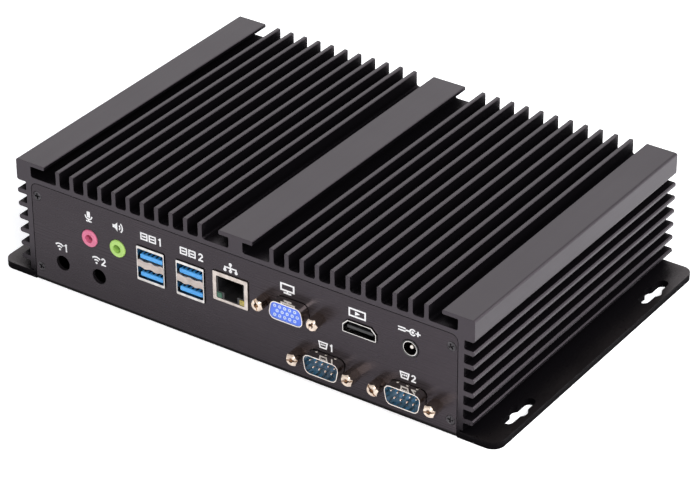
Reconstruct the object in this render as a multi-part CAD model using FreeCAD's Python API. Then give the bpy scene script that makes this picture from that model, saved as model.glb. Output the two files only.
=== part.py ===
"""Fanless industrial computer: finned aluminium housing, base plate, two panels, board and ports.

Millimetres. +X is to the right along the port side, +Y runs from the port side to the rear, +Z up.
The origin is on the underside of the base plate, at the middle of the housing.
"""
import FreeCAD, Part
import math
import os

V = FreeCAD.Vector

# ---------------------------------------------------------------- driving dimensions
# housing: one extrusion, pushed along Y
HOUSING_WIDTH = 212.4          # over the outer lands and the side fins
HOUSING_DEPTH = 147.6          # length that the extrusion is cut to
HOUSING_TOP = 52.8             # top of the fins above the underside of the base plate
DECK_THICKNESS = 2.0           # plate that carries the top fins
TOP_FIN_HEIGHT = 6.45
TOP_FIN_THICKNESS = 1.85
TOP_FIN_LAST_GAP = 5.83         # last fin to the overhang of the outer land
TOP_FINS_PER_GROUP = 11
FIRST_FIN_OFFSET = 15.7        # middle of the housing to the near face of the first fin
FIN_ROOT_RADIUS = 1.0
FIN_TIP_RADIUS = 0.25
CENTRE_WEB_WIDTH = 6.4         # stem of the T-shaped middle land
CENTRE_LAND_WIDTH = 15.6
CENTRE_LIP_THICKNESS = 1.75
EDGE_BLOCK_WIDTH = 7.2         # solid corner block under each outer land
EDGE_BLOCK_HEIGHT = 9.4
EDGE_LIP_REACH = 6.8           # overhang of the outer land towards the fins
EDGE_LIP_THICKNESS = 1.6
EDGE_TOP_RADIUS = 0.9
SIDE_WALL_THICKNESS = 2.5
SIDE_FIN_DEPTH = 4.4
SIDE_FIN_THICKNESS = 2.05
SIDE_FIN_PITCH = 6.02
SIDE_FIN_FIRST_DROP = 13.2     # housing top down to the top of the first side fin
SIDE_FINS = 6
SIDE_FIN_TIP_RADIUS = 0.5
SHADOW_GAP = 0.8               # rebate along the foot of the side walls
FOOT_THICKNESS = 1.1           # what is left of the wall under the rebate
CORNER_BOSS_SIZE = 5.6         # square of metal round each screw channel
FOOT_RAIL_WIDTH = 12.0         # lower corner rail that takes the base screws
RAIL_RELIEF = 14.0             # rail milled back behind the port panel, beside the serial sockets

# base plate and panels
BASE_FLANGE = 10.6             # base plate beyond the housing at each side
BASE_THICKNESS = 3.0
BASE_CORNER_RADIUS = 5.0
SLOT_INSET = 5.4               # edge of the base plate to the middle of a slot
SLOT_END_INSET = 23.6          # end of the base plate to the middle of a slot
SLOT_TRAVEL = 15.2             # between the centres of a slot's round ends
SLOT_END_RADIUS = 2.2
SLOT_MIDDLE_RADIUS = 3.5       # round middle that a screw head passes
PANEL_THICKNESS = 1.5
PANEL_CLEARANCE = 0.3
PANEL_CORNER_RADIUS = 2.7
PANEL_EDGE_RADIUS = 0.8        # rolled lower edge

# fasteners
PANEL_SCREW_RADIUS = 1.25
PANEL_SCREW_LENGTH = 7.0
PANEL_SCREW_HEAD_RADIUS = 2.05
PANEL_SCREW_INSET = 2.5        # panel edge to the screw axis
PANEL_SCREW_TOP_DROP = 14.0    # housing top down to the upper screws
PANEL_SCREW_LOW_DROP = 46.3    # housing top down to the lower screws
BASE_SCREW_RADIUS = 1.5
BASE_SCREW_LENGTH = 7.5
BASE_SCREW_HEAD_RADIUS = 2.8
BASE_SCREW_END_INSET = 18.8    # end of the base plate to the outer screws
BASE_SCREW_RAIL_INSET = 2.9    # inner face of the foot rail to the screw axis
SCREW_FIT = 0.05               # radial clearance round every shank
SEAT = 0.05                    # gap left between pieces that touch

# boards
BOARD_SIDE_GAP = 1.7           # screw channel to the edge of the board
BOARD_THICKNESS = 1.6
BOARD_FRONT_GAP = 1.6          # back of the port panel to the edge of the board
BOARD_REAR_GAP = 9.6           # room behind the board for the button and its switch
BOARD_DROP = 16.6              # housing top down to the upper face of the board
STANDOFF_RADIUS = 2.6
STANDOFF_INSET = 5.0
STANDOFF_FRONT_INSET = 20.0
BOARD_HOLE_RADIUS = 1.5
BOARD_SCREW_RADIUS = 1.25
BOARD_SCREW_HEAD_RADIUS = 2.6
BOARD_SCREW_HEAD_HEIGHT = 1.8
PROCESSOR_SIZE = 26.0
PROCESSOR_THICKNESS = 1.4
THERMAL_PAD_THICKNESS = 0.5
HEAT_BLOCK_SIZE = 44.0
DIE_WIDTH = 12.0
DIE_DEPTH = 8.0
DIE_HEIGHT = 0.5
PAD_MARGIN = 1.0               # pad beyond the die
PROCESSOR_X = -8.0
PROCESSOR_Y = 8.0
MEMORY_LENGTH = 67.6
MEMORY_DEPTH = 30.0
MEMORY_THICKNESS = 1.1
MEMORY_SOCKET_HEIGHT = 5.2
MEMORY_X = 15.0
MEMORY_INSET = 58.7
CARD_WIDTH = 29.6
CARD_LENGTH = 45.9
CARD_THICKNESS = 0.9
CARD_SOCKET_DEPTH = 7.0
CARD_SOCKET_HEIGHT = 4.0
CARD_CHIP_HEIGHT = 1.3
CARD_INSET = 62.7
STORAGE_X = -88.0
WIRELESS_X = -50.0
SPACER_RADIUS = 2.2
SPACER_BORE = 1.3
SPACER_SHANK = 1.0
COIN_RADIUS = 10.0
COIN_THICKNESS = 3.2
COIN_X = -4.0
COIN_INSET = 14.8              # rear edge of the board to the middle of the coin cell
COIL_SIZE = 8.0
COIL_HEIGHT = 4.0
COIL_X = 38.0
COIL_INSET = 32.2              # front edge of the board to the coils
COIL_PITCH = 12.0
CAPACITOR_RADIUS = 3.1
CAPACITOR_HEIGHT = 7.0
CAPACITOR_X = 40.0
CAPACITOR_INSET = 48.7
CAPACITOR_PITCH = 10.0
CHIP_HEIGHT = 1.2
CHIP_PLACES = ((-64.0, 26.7, 9.0), (-10.0, 30.7, 10.0), (-36.0, 26.7, 7.0), (12.0, 104.0, 14.0))

# how finely round pieces are cut
SMALL_SIDES = 8                # sides of a pin, shank or other small round piece
ROUND_SIDES = 20               # sides of a larger round piece
CORNER_SIDES = 3               # flats round a rounded corner
SMALL_CORNER = 0.6             # a corner with a smaller radius gets one flat

# ports: x of each centre from the middle, drop of each centre from the housing top
ANTENNA_HOLE_RADIUS = 3.3
ANTENNA_INSET = (21.1, 39.2)   # left side of the housing to each hole
ANTENNA_DROP = 41.0
AUDIO_X = (-70.8, -57.0)
AUDIO_DROP = 24.8
AUDIO_RING_RADIUS = 3.75
AUDIO_BORE_RADIUS = 1.8
AUDIO_BODY_LENGTH = 12.0
AUDIO_RING_EDGE = 0.35
AUDIO_SPRING_LENGTH = 3.5
AUDIO_SPRING_WIDTH = 1.0
AUDIO_SPRING_THICKNESS = 0.25
DATA_PORT_X = (-40.7, -21.7)
DATA_PORT_DROP = 27.3
DATA_PORT_WIDTH = 13.2
DATA_PORT_HEIGHT = 15.2
DATA_PORT_DEPTH = 17.5
DATA_PORT_OPENING_WIDTH = 12.4
DATA_PORT_OPENING_HEIGHT = 5.1
DATA_PORT_PORT_PITCH = 7.9
DATA_PORT_TONGUE_WIDTH = 10.6
DATA_PORT_TONGUE_THICKNESS = 1.8
DATA_PORT_TONGUE_LENGTH = 8.2
DATA_PORT_TONGUE_RISE = 0.7    # lower edge of the opening to the tongue
DATA_PORT_TONGUE_INSET = 0.4
DATA_PORT_CONTACT_PITCH = 1.96
DATA_PORT_CONTACT_WIDTH = 0.7
DATA_PORT_CONTACT_LENGTH = 4.6
DATA_PORT_CONTACT_THICKNESS = 0.15
DATA_PORT_CONTACT_INSET = 1.0
LAN_X = -2.6
LAN_DROP = 24.6
LAN_WIDTH = 16.3
LAN_HEIGHT = 12.6
LAN_DEPTH = 20.0
LAN_OPENING_WIDTH = 11.8
LAN_OPENING_HEIGHT = 6.7
LAN_LATCH_WIDTH = 6.2
LAN_LATCH_HEIGHT = 2.6
LAN_CAVITY_DEPTH = 13.0
LAN_LIGHT_SIZE = 2.2
LAN_FRAME_SIDE = 1.6           # width of the shield's front frame
LAN_FRAME_TOP = 1.4
LAN_WINDOW_DROP = 0.3
LAN_WIRE_PITCH = 1.02
LAN_WIRE_WIDTH = 0.4
LAN_WIRE_START = 3.0           # front of the socket to the wires
LAN_WIRE_DROP = 3.0            # how far the wires slope down
LAN_OPENING_RISE = 1.0         # middle of the plug space above the middle of the socket
LAN_LIGHT_INSET = 1.75
LAN_LIGHT_GAP = 0.5
VIDEO_X = 26.0
VIDEO_DROP = 22.9
SERIAL_INSET = (64.6, 28.1)    # right side of the housing to each plug
SERIAL_DROP = 41.6
DSUB_FLANGE_WIDTH = 30.8
DSUB_FLANGE_HEIGHT = 12.5
DSUB_FLANGE_THICKNESS = 0.8
DSUB_SCREW_SPACING = 24.99
DSUB_SHELL_LENGTH = 6.2        # flange face to rim
DSUB_SHELL_WALL = 0.4
DSUB_CORNER_RADIUS = 2.5
DSUB_SLANT = math.tan(math.radians(10.0))
SERIAL_SHELL_WIDTH = 16.9
SERIAL_BOARD_SIDE_CUT = 5.0
SERIAL_BOARD_GAP = 0.4
SERIAL_BOARD_RISE = 9.0
RIBBON_WIDTH = 24.0
RIBBON_THICKNESS = 1.0
RIBBON_REACH = 12.0
RIBBON_PLUG_HEIGHT = 4.0
RIBBON_PLUG_DEPTH = 6.5
SERIAL_SHELL_HEIGHT = 8.3
VIDEO_SHELL_WIDTH = 16.3
VIDEO_SHELL_HEIGHT = 7.9
DSUB_BODY_DEPTH = 8.0
SERIAL_PIN_RADIUS = 0.5
SERIAL_PIN_INSET = 1.0         # rim of the shell to the tip of a pin
SERIAL_PIN_PITCH = 2.77
SERIAL_ROW_PITCH = 2.84
VIDEO_HOLE_RADIUS = 0.6
VIDEO_HOLE_DEPTH = 4.0
VIDEO_HOLE_PITCH = 2.29
VIDEO_ROW_PITCH = 1.98
JACKSCREW_HEX = 4.8            # across flats
JACKSCREW_LENGTH = 6.2         # panel face to the free end
JACKSCREW_BORE = 1.15
JACKSCREW_BORE_DEPTH = 4.8
JACKSCREW_SLOT_WIDTH = 0.8
JACKSCREW_SLOT_DEPTH = 0.7
JACKSCREW_SLOT_TURN = 40.0
DIGITAL_VIDEO_X = 56.4
DIGITAL_VIDEO_DROP = 21.4
DIGITAL_VIDEO_WIDTH = 15.0
DIGITAL_VIDEO_HEIGHT = 5.5
DIGITAL_VIDEO_DEPTH = 11.0
DIGITAL_VIDEO_CHAMFER = 2.2
DIGITAL_VIDEO_PLUG_DEPTH = 3.5
DIGITAL_VIDEO_TONGUE_WIDTH = 11.6
DIGITAL_VIDEO_TONGUE_HEIGHT = 1.2
POWER_X = 78.6
POWER_DROP = 21.4
POWER_RING_RADIUS = 3.6
POWER_BORE_RADIUS = 2.8
POWER_PIN_RADIUS = 1.0
POWER_BODY_LENGTH = 13.0
PORT_WALL = 0.3                # sheet of the socket shells
PORT_PROUD = 0.6               # socket shells stand this far out of the panel
PORT_HOLE_GAP = 0.25           # panel cut-out round each socket

# rear side
BUTTON_X = -76.0
BUTTON_DROP = 26.0
BUTTON_RADIUS = 5.0
BUTTON_PROUD = 1.8
BUTTON_TRAVEL = 1.0
BUTTON_EDGE = 0.4
BUTTON_GUIDE_FIT = 0.15
BUTTON_COLLAR_EXTRA = 1.4
BUTTON_COLLAR_THICKNESS = 1.5
LIGHT_X = (-58.0, -50.0)
LIGHT_DROP = 26.0
LIGHT_RADIUS = 1.5
SWITCH_SIZE = 12.0
SWITCH_DEPTH = 4.0
SWITCH_GAP = 0.3               # switch to the collar when fully pushed
SWITCH_BOARD_HEIGHT = 16.0
GUIDE_WALL = 1.1
GUIDE_GAP = 0.3
REAR_DATA_PORT_X = -22.0

# ---------------------------------------------------------------- derived places
TOP = HOUSING_TOP
HALF = HOUSING_WIDTH / 2
FRONT = -HOUSING_DEPTH / 2
REAR = HOUSING_DEPTH / 2
FIN_FLOOR = TOP - TOP_FIN_HEIGHT
DECK_UNDER = FIN_FLOOR - DECK_THICKNESS
TOP_FIN_PITCH = ((HALF - EDGE_BLOCK_WIDTH - EDGE_LIP_REACH - TOP_FIN_LAST_GAP - TOP_FIN_THICKNESS
                  - FIRST_FIN_OFFSET) / (TOP_FINS_PER_GROUP - 1))
WALL_OUT = HALF - SIDE_FIN_DEPTH
WALL_IN = WALL_OUT - SIDE_WALL_THICKNESS
PANEL_HALF = WALL_IN - PANEL_CLEARANCE
PANEL_TOP = DECK_UNDER - PANEL_CLEARANCE
PANEL_BACK = FRONT + PANEL_THICKNESS
REAR_PANEL_FRONT = REAR - PANEL_THICKNESS
SCREW_X = PANEL_HALF - PANEL_SCREW_INSET
SCREW_TOP_Z = TOP - PANEL_SCREW_TOP_DROP
SCREW_LOW_Z = TOP - PANEL_SCREW_LOW_DROP
RAIL_IN = WALL_IN - FOOT_RAIL_WIDTH
RAIL_TOP = SCREW_LOW_Z + CORNER_BOSS_SIZE / 2
BASE_SCREW_X = RAIL_IN + BASE_SCREW_RAIL_INSET
BOARD_TOP = TOP - BOARD_DROP
BOARD_UNDER = BOARD_TOP - BOARD_THICKNESS
BOARD_FRONT = PANEL_BACK + BOARD_FRONT_GAP
BOARD_REAR = REAR_PANEL_FRONT - BOARD_REAR_GAP
COIL_Y = BOARD_FRONT + COIL_INSET
CAPACITOR_Y = BOARD_FRONT + CAPACITOR_INSET
MEMORY_Y = BOARD_FRONT + MEMORY_INSET
CARD_Y = BOARD_FRONT + CARD_INSET
COIN_Y = BOARD_REAR - COIN_INSET
BOARD_HALF = WALL_IN - CORNER_BOSS_SIZE - BOARD_SIDE_GAP
CARRIED_TOP = BOARD_UNDER - SEAT       # what the board carries on its lower face starts here
CARD_UNDER = CARRIED_TOP - 2.9
HEAT_BLOCK_UNDER = BOARD_TOP + PROCESSOR_THICKNESS + THERMAL_PAD_THICKNESS
BASE_WIDTH = HOUSING_WIDTH + 2 * BASE_FLANGE
SLOT_X = BASE_WIDTH / 2 - SLOT_INSET
SLOT_Y = HOUSING_DEPTH / 2 - SLOT_END_INSET
BASE_SCREW_Y = HOUSING_DEPTH / 2 - BASE_SCREW_END_INSET
PORT_FACE = FRONT - PORT_PROUD
ANTENNA_X = [inset - HALF for inset in ANTENNA_INSET]
SERIAL_X = [HALF - inset for inset in SERIAL_INSET]
SERIAL_BOARD_FRONT = PANEL_BACK + 2 * SEAT + DSUB_FLANGE_THICKNESS + DSUB_BODY_DEPTH
SERIAL_BOARD_BACK = SERIAL_BOARD_FRONT + BOARD_THICKNESS
JACKSCREW_END = PANEL_BACK + 3 * DSUB_FLANGE_THICKNESS
POWER_BORE_END = PANEL_BACK + POWER_BODY_LENGTH - PANEL_THICKNESS
SERIAL_PIN_END = PANEL_BACK + DSUB_BODY_DEPTH * 0.75
SWITCH_FRONT = (REAR_PANEL_FRONT - BUTTON_GUIDE_FIT - BUTTON_COLLAR_THICKNESS - BUTTON_TRAVEL - SWITCH_GAP)
SWITCH_BACK = SWITCH_FRONT - SWITCH_DEPTH


# ---------------------------------------------------------------- small helpers
def block(x0, x1, y0, y1, z0, z1):
    """Rectangular solid between two corners."""
    return Part.makeBox(x1 - x0, y1 - y0, z1 - z0, V(x0, y0, z0))


def between(lower, upper):
    """Solid with flat sides between two closed rings of corners."""
    count = len(lower)
    faces = [Part.Face(Part.makePolygon(ring + [ring[0]])) for ring in (lower, upper)]
    for i in range(count):
        j = (i + 1) % count
        faces.append(Part.Face(Part.makePolygon([lower[i], lower[j], upper[j], upper[i], lower[i]])))
    solid = Part.Solid(Part.Shell(faces))
    if solid.Volume < 0:
        solid.reverse()
    return solid


def flat_sided(radius, end_radius, length, sides=SMALL_SIDES):
    """Round bar or cone that stands on the XY plane, made with flat sides."""
    turns = [2 * math.pi * (i + 0.5) / sides for i in range(sides)]
    rings = [[V(r * math.cos(a), r * math.sin(a), z) for a in turns] for r,
             z in ((radius, 0), (end_radius, length))]
    return between(*rings)


def along_y(shape, x, z, y0):
    """A shape that stands on the XY plane, turned to lie along Y."""
    shape.rotate(V(0, 0, 0), V(1, 0, 0), -90)
    shape.translate(V(x, y0, z))
    return shape


def rod(x, z, radius, y0, y1):
    """Round bar along Y."""
    return Part.makeCylinder(radius, y1 - y0, V(x, y0, z), V(0, 1, 0))


def small_rod(x, z, radius, y0, y1):
    """Small bar along Y with flat sides."""
    return along_y(flat_sided(radius, radius, y1 - y0), x, z, y0)


def post(x, y, radius, z0, z1):
    """Round bar along Z."""
    return Part.makeCylinder(radius, z1 - z0, V(x, y, z0), V(0, 0, 1))


def small_post(x, y, radius, z0, z1, end_radius=None, sides=SMALL_SIDES):
    """Bar or cone along Z with flat sides."""
    bar = flat_sided(radius, radius if end_radius is None else end_radius, z1 - z0, sides)
    bar.translate(V(x, y, z0))
    return bar


def ring_rod(x, z, radius, y0, y1, end_radius=None):
    """Larger bar or cone along Y with flat sides."""
    return along_y(flat_sided(radius, radius if end_radius is None else end_radius, y1 - y0, ROUND_SIDES),
                   x, z, y0)


def outline(corners):
    """Closed wire in the XZ plane through (x, z,
                                            radius) corners, each rounded with flats to its radius."""
    places = [V(x, 0, z) for x, z, radius in corners]
    points = []
    for i, here in enumerate(places):
        radius = corners[i][2]
        if radius <= 0:
            points.append(here)
            continue
        back = (places[i - 1] - here).normalize()
        ahead = (places[(i + 1) % len(places)] - here).normalize()
        half_angle = back.getAngle(ahead) / 2
        centre = here + (back + ahead).normalize() * (radius / math.sin(half_angle))
        start = here + back * (radius / math.tan(half_angle)) - centre
        end = here + ahead * (radius / math.tan(half_angle)) - centre
        flats = 1 if radius < SMALL_CORNER else CORNER_SIDES
        sweep = start.getAngle(end)
        for k in range(flats + 1):
            part = sweep * k / flats
            along = start * math.sin(sweep - part) + end * math.sin(part)
            points.append(centre + along * (1 / math.sin(sweep)))
    return Part.makePolygon(points + [points[0]])


def prism(corners, y0, y1):
    """Solid with a rounded XZ outline between two places along Y."""
    face = Part.Face(outline(corners))
    face.translate(V(0, y0, 0))
    return face.extrude(V(0, y1 - y0, 0))


def rectangle(x, z, width, height, radius=0.0):
    """Corners of a rectangle about a centre."""
    a, b = width / 2, height / 2
    return [(x - a, z - b, radius), (x + a, z - b, radius), (x + a, z + b, radius),
            (x - a, z + b, radius)]


def d_shape(x, z, width, height, radius, wide_up):
    """Corners of a D-shaped connector outline."""
    wide = width / 2
    narrow = wide - height * DSUB_SLANT
    up = height / 2 if wide_up else -height / 2
    corners = [(x - narrow, z - up, radius), (x + narrow, z - up, radius),
               (x + wide, z + up, radius), (x - wide, z + up, radius)]
    return corners if wide_up else corners[::-1]


def save(name, shapes):
    """Write one sub-part, made of one or more solids."""
    if not isinstance(shapes, list):
        shapes = [shapes]
    shape = shapes[0] if len(shapes) == 1 else Part.makeCompound(shapes)
    shape.exportStep(os.path.join("parts", name + ".step"))


# ---------------------------------------------------------------- housing
def housing_outline():
    """Right half of the extrusion's section, from the middle of the top to the middle of the deck."""
    web, land = CENTRE_WEB_WIDTH / 2, CENTRE_LAND_WIDTH / 2
    corners = [(land, TOP, FIN_TIP_RADIUS), (land, TOP - CENTRE_LIP_THICKNESS, FIN_TIP_RADIUS),
               (web, TOP - CENTRE_LIP_THICKNESS, FIN_TIP_RADIUS), (web, FIN_FLOOR, FIN_ROOT_RADIUS)]
    for i in range(TOP_FINS_PER_GROUP):
        near = FIRST_FIN_OFFSET + i * TOP_FIN_PITCH
        far = near + TOP_FIN_THICKNESS
        corners += [(near, FIN_FLOOR, FIN_ROOT_RADIUS), (near, TOP, FIN_TIP_RADIUS),
                    (far, TOP, FIN_TIP_RADIUS), (far, FIN_FLOOR, FIN_ROOT_RADIUS)]
    edge = HALF - EDGE_BLOCK_WIDTH
    lip = edge - EDGE_LIP_REACH
    corners += [(edge, FIN_FLOOR, FIN_ROOT_RADIUS), (edge, TOP - EDGE_LIP_THICKNESS, FIN_TIP_RADIUS),
                (lip, TOP - EDGE_LIP_THICKNESS, FIN_TIP_RADIUS), (lip, TOP, FIN_TIP_RADIUS),
                (HALF, TOP, EDGE_TOP_RADIUS), (HALF, TOP - EDGE_BLOCK_HEIGHT, EDGE_TOP_RADIUS),
                (WALL_OUT, TOP - EDGE_BLOCK_HEIGHT, FIN_TIP_RADIUS)]
    for i in range(SIDE_FINS):
        upper = TOP - SIDE_FIN_FIRST_DROP - i * SIDE_FIN_PITCH
        lower = upper - SIDE_FIN_THICKNESS
        corners += [(WALL_OUT, upper, FIN_TIP_RADIUS), (HALF, upper, SIDE_FIN_TIP_RADIUS),
                    (HALF, lower, SIDE_FIN_TIP_RADIUS), (WALL_OUT, lower, FIN_TIP_RADIUS)]
    foot = WALL_IN + FOOT_THICKNESS
    boss_in = WALL_IN - CORNER_BOSS_SIZE
    boss_low = SCREW_TOP_Z - CORNER_BOSS_SIZE / 2
    corners += [(WALL_OUT, BASE_THICKNESS + SHADOW_GAP, 0), (foot, BASE_THICKNESS + SHADOW_GAP, 0),
                (foot, BASE_THICKNESS, 0), (RAIL_IN, BASE_THICKNESS, 0),
                (RAIL_IN, RAIL_TOP, FIN_TIP_RADIUS), (WALL_IN, RAIL_TOP, FIN_ROOT_RADIUS),
                (WALL_IN, boss_low, FIN_ROOT_RADIUS), (boss_in, boss_low, FIN_TIP_RADIUS),
                (boss_in, DECK_UNDER, FIN_ROOT_RADIUS)]
    return corners


def finned_housing():
    """Extrusion with lands, fins and screw channels, milled back at both ends to take the panels."""
    right = housing_outline()
    left = [(-x, z, radius) for x, z, radius in reversed(right)]
    body = prism(right + left, FRONT, REAR)
    opening = WALL_IN * 2
    recess = rectangle(0, DECK_UNDER / 2, opening, DECK_UNDER, 0)
    recess = [(x, z, PANEL_CORNER_RADIUS + PANEL_CLEARANCE if z > 1 else 0) for x, z, radius in recess]
    cuts = [prism(recess, FRONT, PANEL_BACK), prism(recess, REAR_PANEL_FRONT, REAR)]
    for side in (-1, 1):
        edges = sorted((side * (RAIL_IN - 1), side * (WALL_IN - CORNER_BOSS_SIZE)))
        cuts.append(block(*edges, FRONT, PANEL_BACK + RAIL_RELIEF, 0, RAIL_TOP + 1))
        for z in (SCREW_TOP_Z, SCREW_LOW_Z):
            cuts.append(small_rod(side * SCREW_X, z, PANEL_SCREW_RADIUS + SCREW_FIT, FRONT, REAR))
        for y in base_screw_rows():
            cuts.append(small_post(side * BASE_SCREW_X, y, BASE_SCREW_RADIUS + SCREW_FIT, 0,
                                   RAIL_TOP + 1))
    return body.cut(cuts)


# ---------------------------------------------------------------- base plate
def base_screw_rows():
    """Y places of the screws that hold the base plate."""
    return (-BASE_SCREW_Y, 0, BASE_SCREW_Y)


def keyhole(x, y):
    """Mounting slot along Y, with round ends and a wider round middle."""
    run = SLOT_TRAVEL / 2
    slot = block(x - SLOT_END_RADIUS, x + SLOT_END_RADIUS, y - run, y + run, 0, BASE_THICKNESS)
    ends = [post(x, y + step, SLOT_END_RADIUS, 0, BASE_THICKNESS) for step in (-run, run)]
    return slot.fuse(ends + [post(x, y, SLOT_MIDDLE_RADIUS, 0, BASE_THICKNESS)]).removeSplitter()


def base_plate():
    """Flat plate with rounded corners, four mounting slots, and a notch for each panel."""
    plate = block(-BASE_WIDTH / 2, BASE_WIDTH / 2, FRONT, REAR, 0, BASE_THICKNESS)
    upright = [edge for edge in plate.Edges if abs(edge.tangentAt(edge.FirstParameter).z) > 0.9]
    plate = plate.makeFillet(BASE_CORNER_RADIUS, upright)
    notch = WALL_IN
    cuts = [block(-notch, notch, FRONT - 1, PANEL_BACK, -1, BASE_THICKNESS + 1),
            block(-notch, notch, REAR_PANEL_FRONT, REAR + 1, -1, BASE_THICKNESS + 1)]
    for x in (-SLOT_X, SLOT_X):
        for y in (-SLOT_Y, SLOT_Y):
            cuts.append(keyhole(x, y))
    for side in (-1, 1):
        for y in base_screw_rows():
            cuts.append(countersink(side * BASE_SCREW_X, y))
    return plate.cut(cuts)


def countersink(x, y):
    """Countersunk hole from below for a base screw."""
    depth = BASE_SCREW_HEAD_RADIUS - BASE_SCREW_RADIUS
    narrow = BASE_SCREW_RADIUS + SCREW_FIT
    cone = small_post(x, y, BASE_SCREW_HEAD_RADIUS + SCREW_FIT, 0, depth, narrow)
    return cone.fuse(small_post(x, y, narrow, 0, BASE_THICKNESS))


def flat_head_screw(radius, length, head_radius):
    """Countersunk screw pointing up, with the head's face on the XY plane."""
    depth = head_radius - radius
    body = small_post(0, 0, head_radius, 0, depth, radius).fuse(small_post(0, 0, radius, 0, length))
    return body.removeSplitter()


def base_screws():
    """Six countersunk screws up through the base plate into the foot rails."""
    screws = []
    for side in (-1, 1):
        for y in base_screw_rows():
            screw = flat_head_screw(BASE_SCREW_RADIUS, BASE_SCREW_LENGTH, BASE_SCREW_HEAD_RADIUS)
            screw.translate(V(side * BASE_SCREW_X, y, 0))
            screws.append(screw)
    return screws


# ---------------------------------------------------------------- panels
def panel_blank(y0, y1, outer_y):
    """Plain panel with round top corners and a rolled lower edge on its outer face."""
    corners = [(-PANEL_HALF, 0, 0), (PANEL_HALF, 0, 0),
               (PANEL_HALF, PANEL_TOP, PANEL_CORNER_RADIUS), (-PANEL_HALF, PANEL_TOP,
                                                              PANEL_CORNER_RADIUS)]
    plate = prism(corners, y0, y1)
    lower = [edge for edge in plate.Edges
             if abs(edge.CenterOfMass.y - outer_y) < 1e-6 and abs(edge.CenterOfMass.z) < 1e-6]
    return plate.makeFillet(PANEL_EDGE_RADIUS, lower)


def panel_screw_places():
    """X and Z of the four corner screws of a panel."""
    return [(side * SCREW_X, z) for side in (-1, 1) for z in (SCREW_TOP_Z, SCREW_LOW_Z)]


def panel_screw_holes(outer_y, inward):
    """Countersunk holes at the corners of a panel; inward is +1 or -1 along Y."""
    cuts = []
    depth = PANEL_SCREW_HEAD_RADIUS - PANEL_SCREW_RADIUS
    for x, z in panel_screw_places():
        narrow = PANEL_SCREW_RADIUS + SCREW_FIT
        cone = small_post(0, 0, narrow + depth, 0, depth, narrow)
        cone.rotate(V(0, 0, 0), V(1, 0, 0), -90 * inward)
        cone.translate(V(x, outer_y, z))
        cuts.append(cone)
        cuts.append(small_rod(x, z, narrow, outer_y - 2 * PANEL_THICKNESS, outer_y + 2 * PANEL_THICKNESS))
    return cuts


def panel_screws():
    """Eight countersunk cross-recess screws, four at each end of the housing."""
    screws = []
    for outer_y, turn in ((FRONT, -90), (REAR, 90)):
        for x, z in panel_screw_places():
            screw = flat_head_screw(PANEL_SCREW_RADIUS, PANEL_SCREW_LENGTH, PANEL_SCREW_HEAD_RADIUS)
            screw.rotate(V(0, 0, 0), V(1, 0, 0), turn)
            screw.translate(V(x, outer_y, z))
            screws.append(screw)
    return screws


def front_panel():
    """Port panel with a cut-out for every socket."""
    y0, y1 = FRONT - 1, PANEL_BACK + 1
    gap = PORT_HOLE_GAP
    cuts = panel_screw_holes(FRONT, 1)
    cuts += [rod(x, TOP - ANTENNA_DROP, ANTENNA_HOLE_RADIUS, y0, y1) for x in ANTENNA_X]
    cuts += [ring_rod(x, TOP - AUDIO_DROP, AUDIO_RING_RADIUS + gap, y0, y1) for x in AUDIO_X]
    cuts += [prism(rectangle(x, TOP - DATA_PORT_DROP, DATA_PORT_WIDTH + 2 * gap,
                             DATA_PORT_HEIGHT + 2 * gap, gap), y0, y1)
             for x in DATA_PORT_X]
    cuts.append(prism(rectangle(LAN_X, TOP - LAN_DROP, LAN_WIDTH + 2 * gap, LAN_HEIGHT + 2 * gap, gap),
                      y0, y1))
    cuts.append(prism(digital_video_corners(gap), y0, y1))
    cuts.append(ring_rod(POWER_X, TOP - POWER_DROP, POWER_RING_RADIUS + gap, y0, y1))
    cuts.append(dsub_cutter(VIDEO_X, TOP - VIDEO_DROP, VIDEO_SHELL_WIDTH, VIDEO_SHELL_HEIGHT, False, y0,
                            y1))
    for x in SERIAL_X:
        cuts.append(dsub_cutter(x, TOP - SERIAL_DROP, SERIAL_SHELL_WIDTH, SERIAL_SHELL_HEIGHT, True, y0,
                                y1))
    for x, z in jackscrew_places():
        cuts.append(small_rod(x, z, BASE_SCREW_RADIUS + SCREW_FIT, y0, y1))
    return panel_blank(FRONT, PANEL_BACK, FRONT).cut(cuts)


def rear_panel():
    """Panel with the power button, two indicator lights and one stacked pair of sockets."""
    y0, y1 = REAR_PANEL_FRONT - 1, REAR + 1
    gap = PORT_HOLE_GAP
    cuts = panel_screw_holes(REAR, -1)
    cuts.append(ring_rod(BUTTON_X, TOP - BUTTON_DROP, BUTTON_RADIUS + BUTTON_GUIDE_FIT, y0, y1))
    cuts += [small_rod(x, TOP - LIGHT_DROP, LIGHT_RADIUS + SCREW_FIT, y0, y1) for x in LIGHT_X]
    cuts.append(prism(rectangle(REAR_DATA_PORT_X, TOP - DATA_PORT_DROP, DATA_PORT_WIDTH + 2 * gap,
                                DATA_PORT_HEIGHT + 2 * gap, gap),
                      y0, y1))
    return panel_blank(REAR_PANEL_FRONT, REAR, REAR).cut(cuts)


# ---------------------------------------------------------------- stacked type A sockets
def data_port_levels():
    """Heights of the two openings of a stacked socket, about its middle."""
    return (-DATA_PORT_PORT_PITCH / 2, DATA_PORT_PORT_PITCH / 2)


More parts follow.
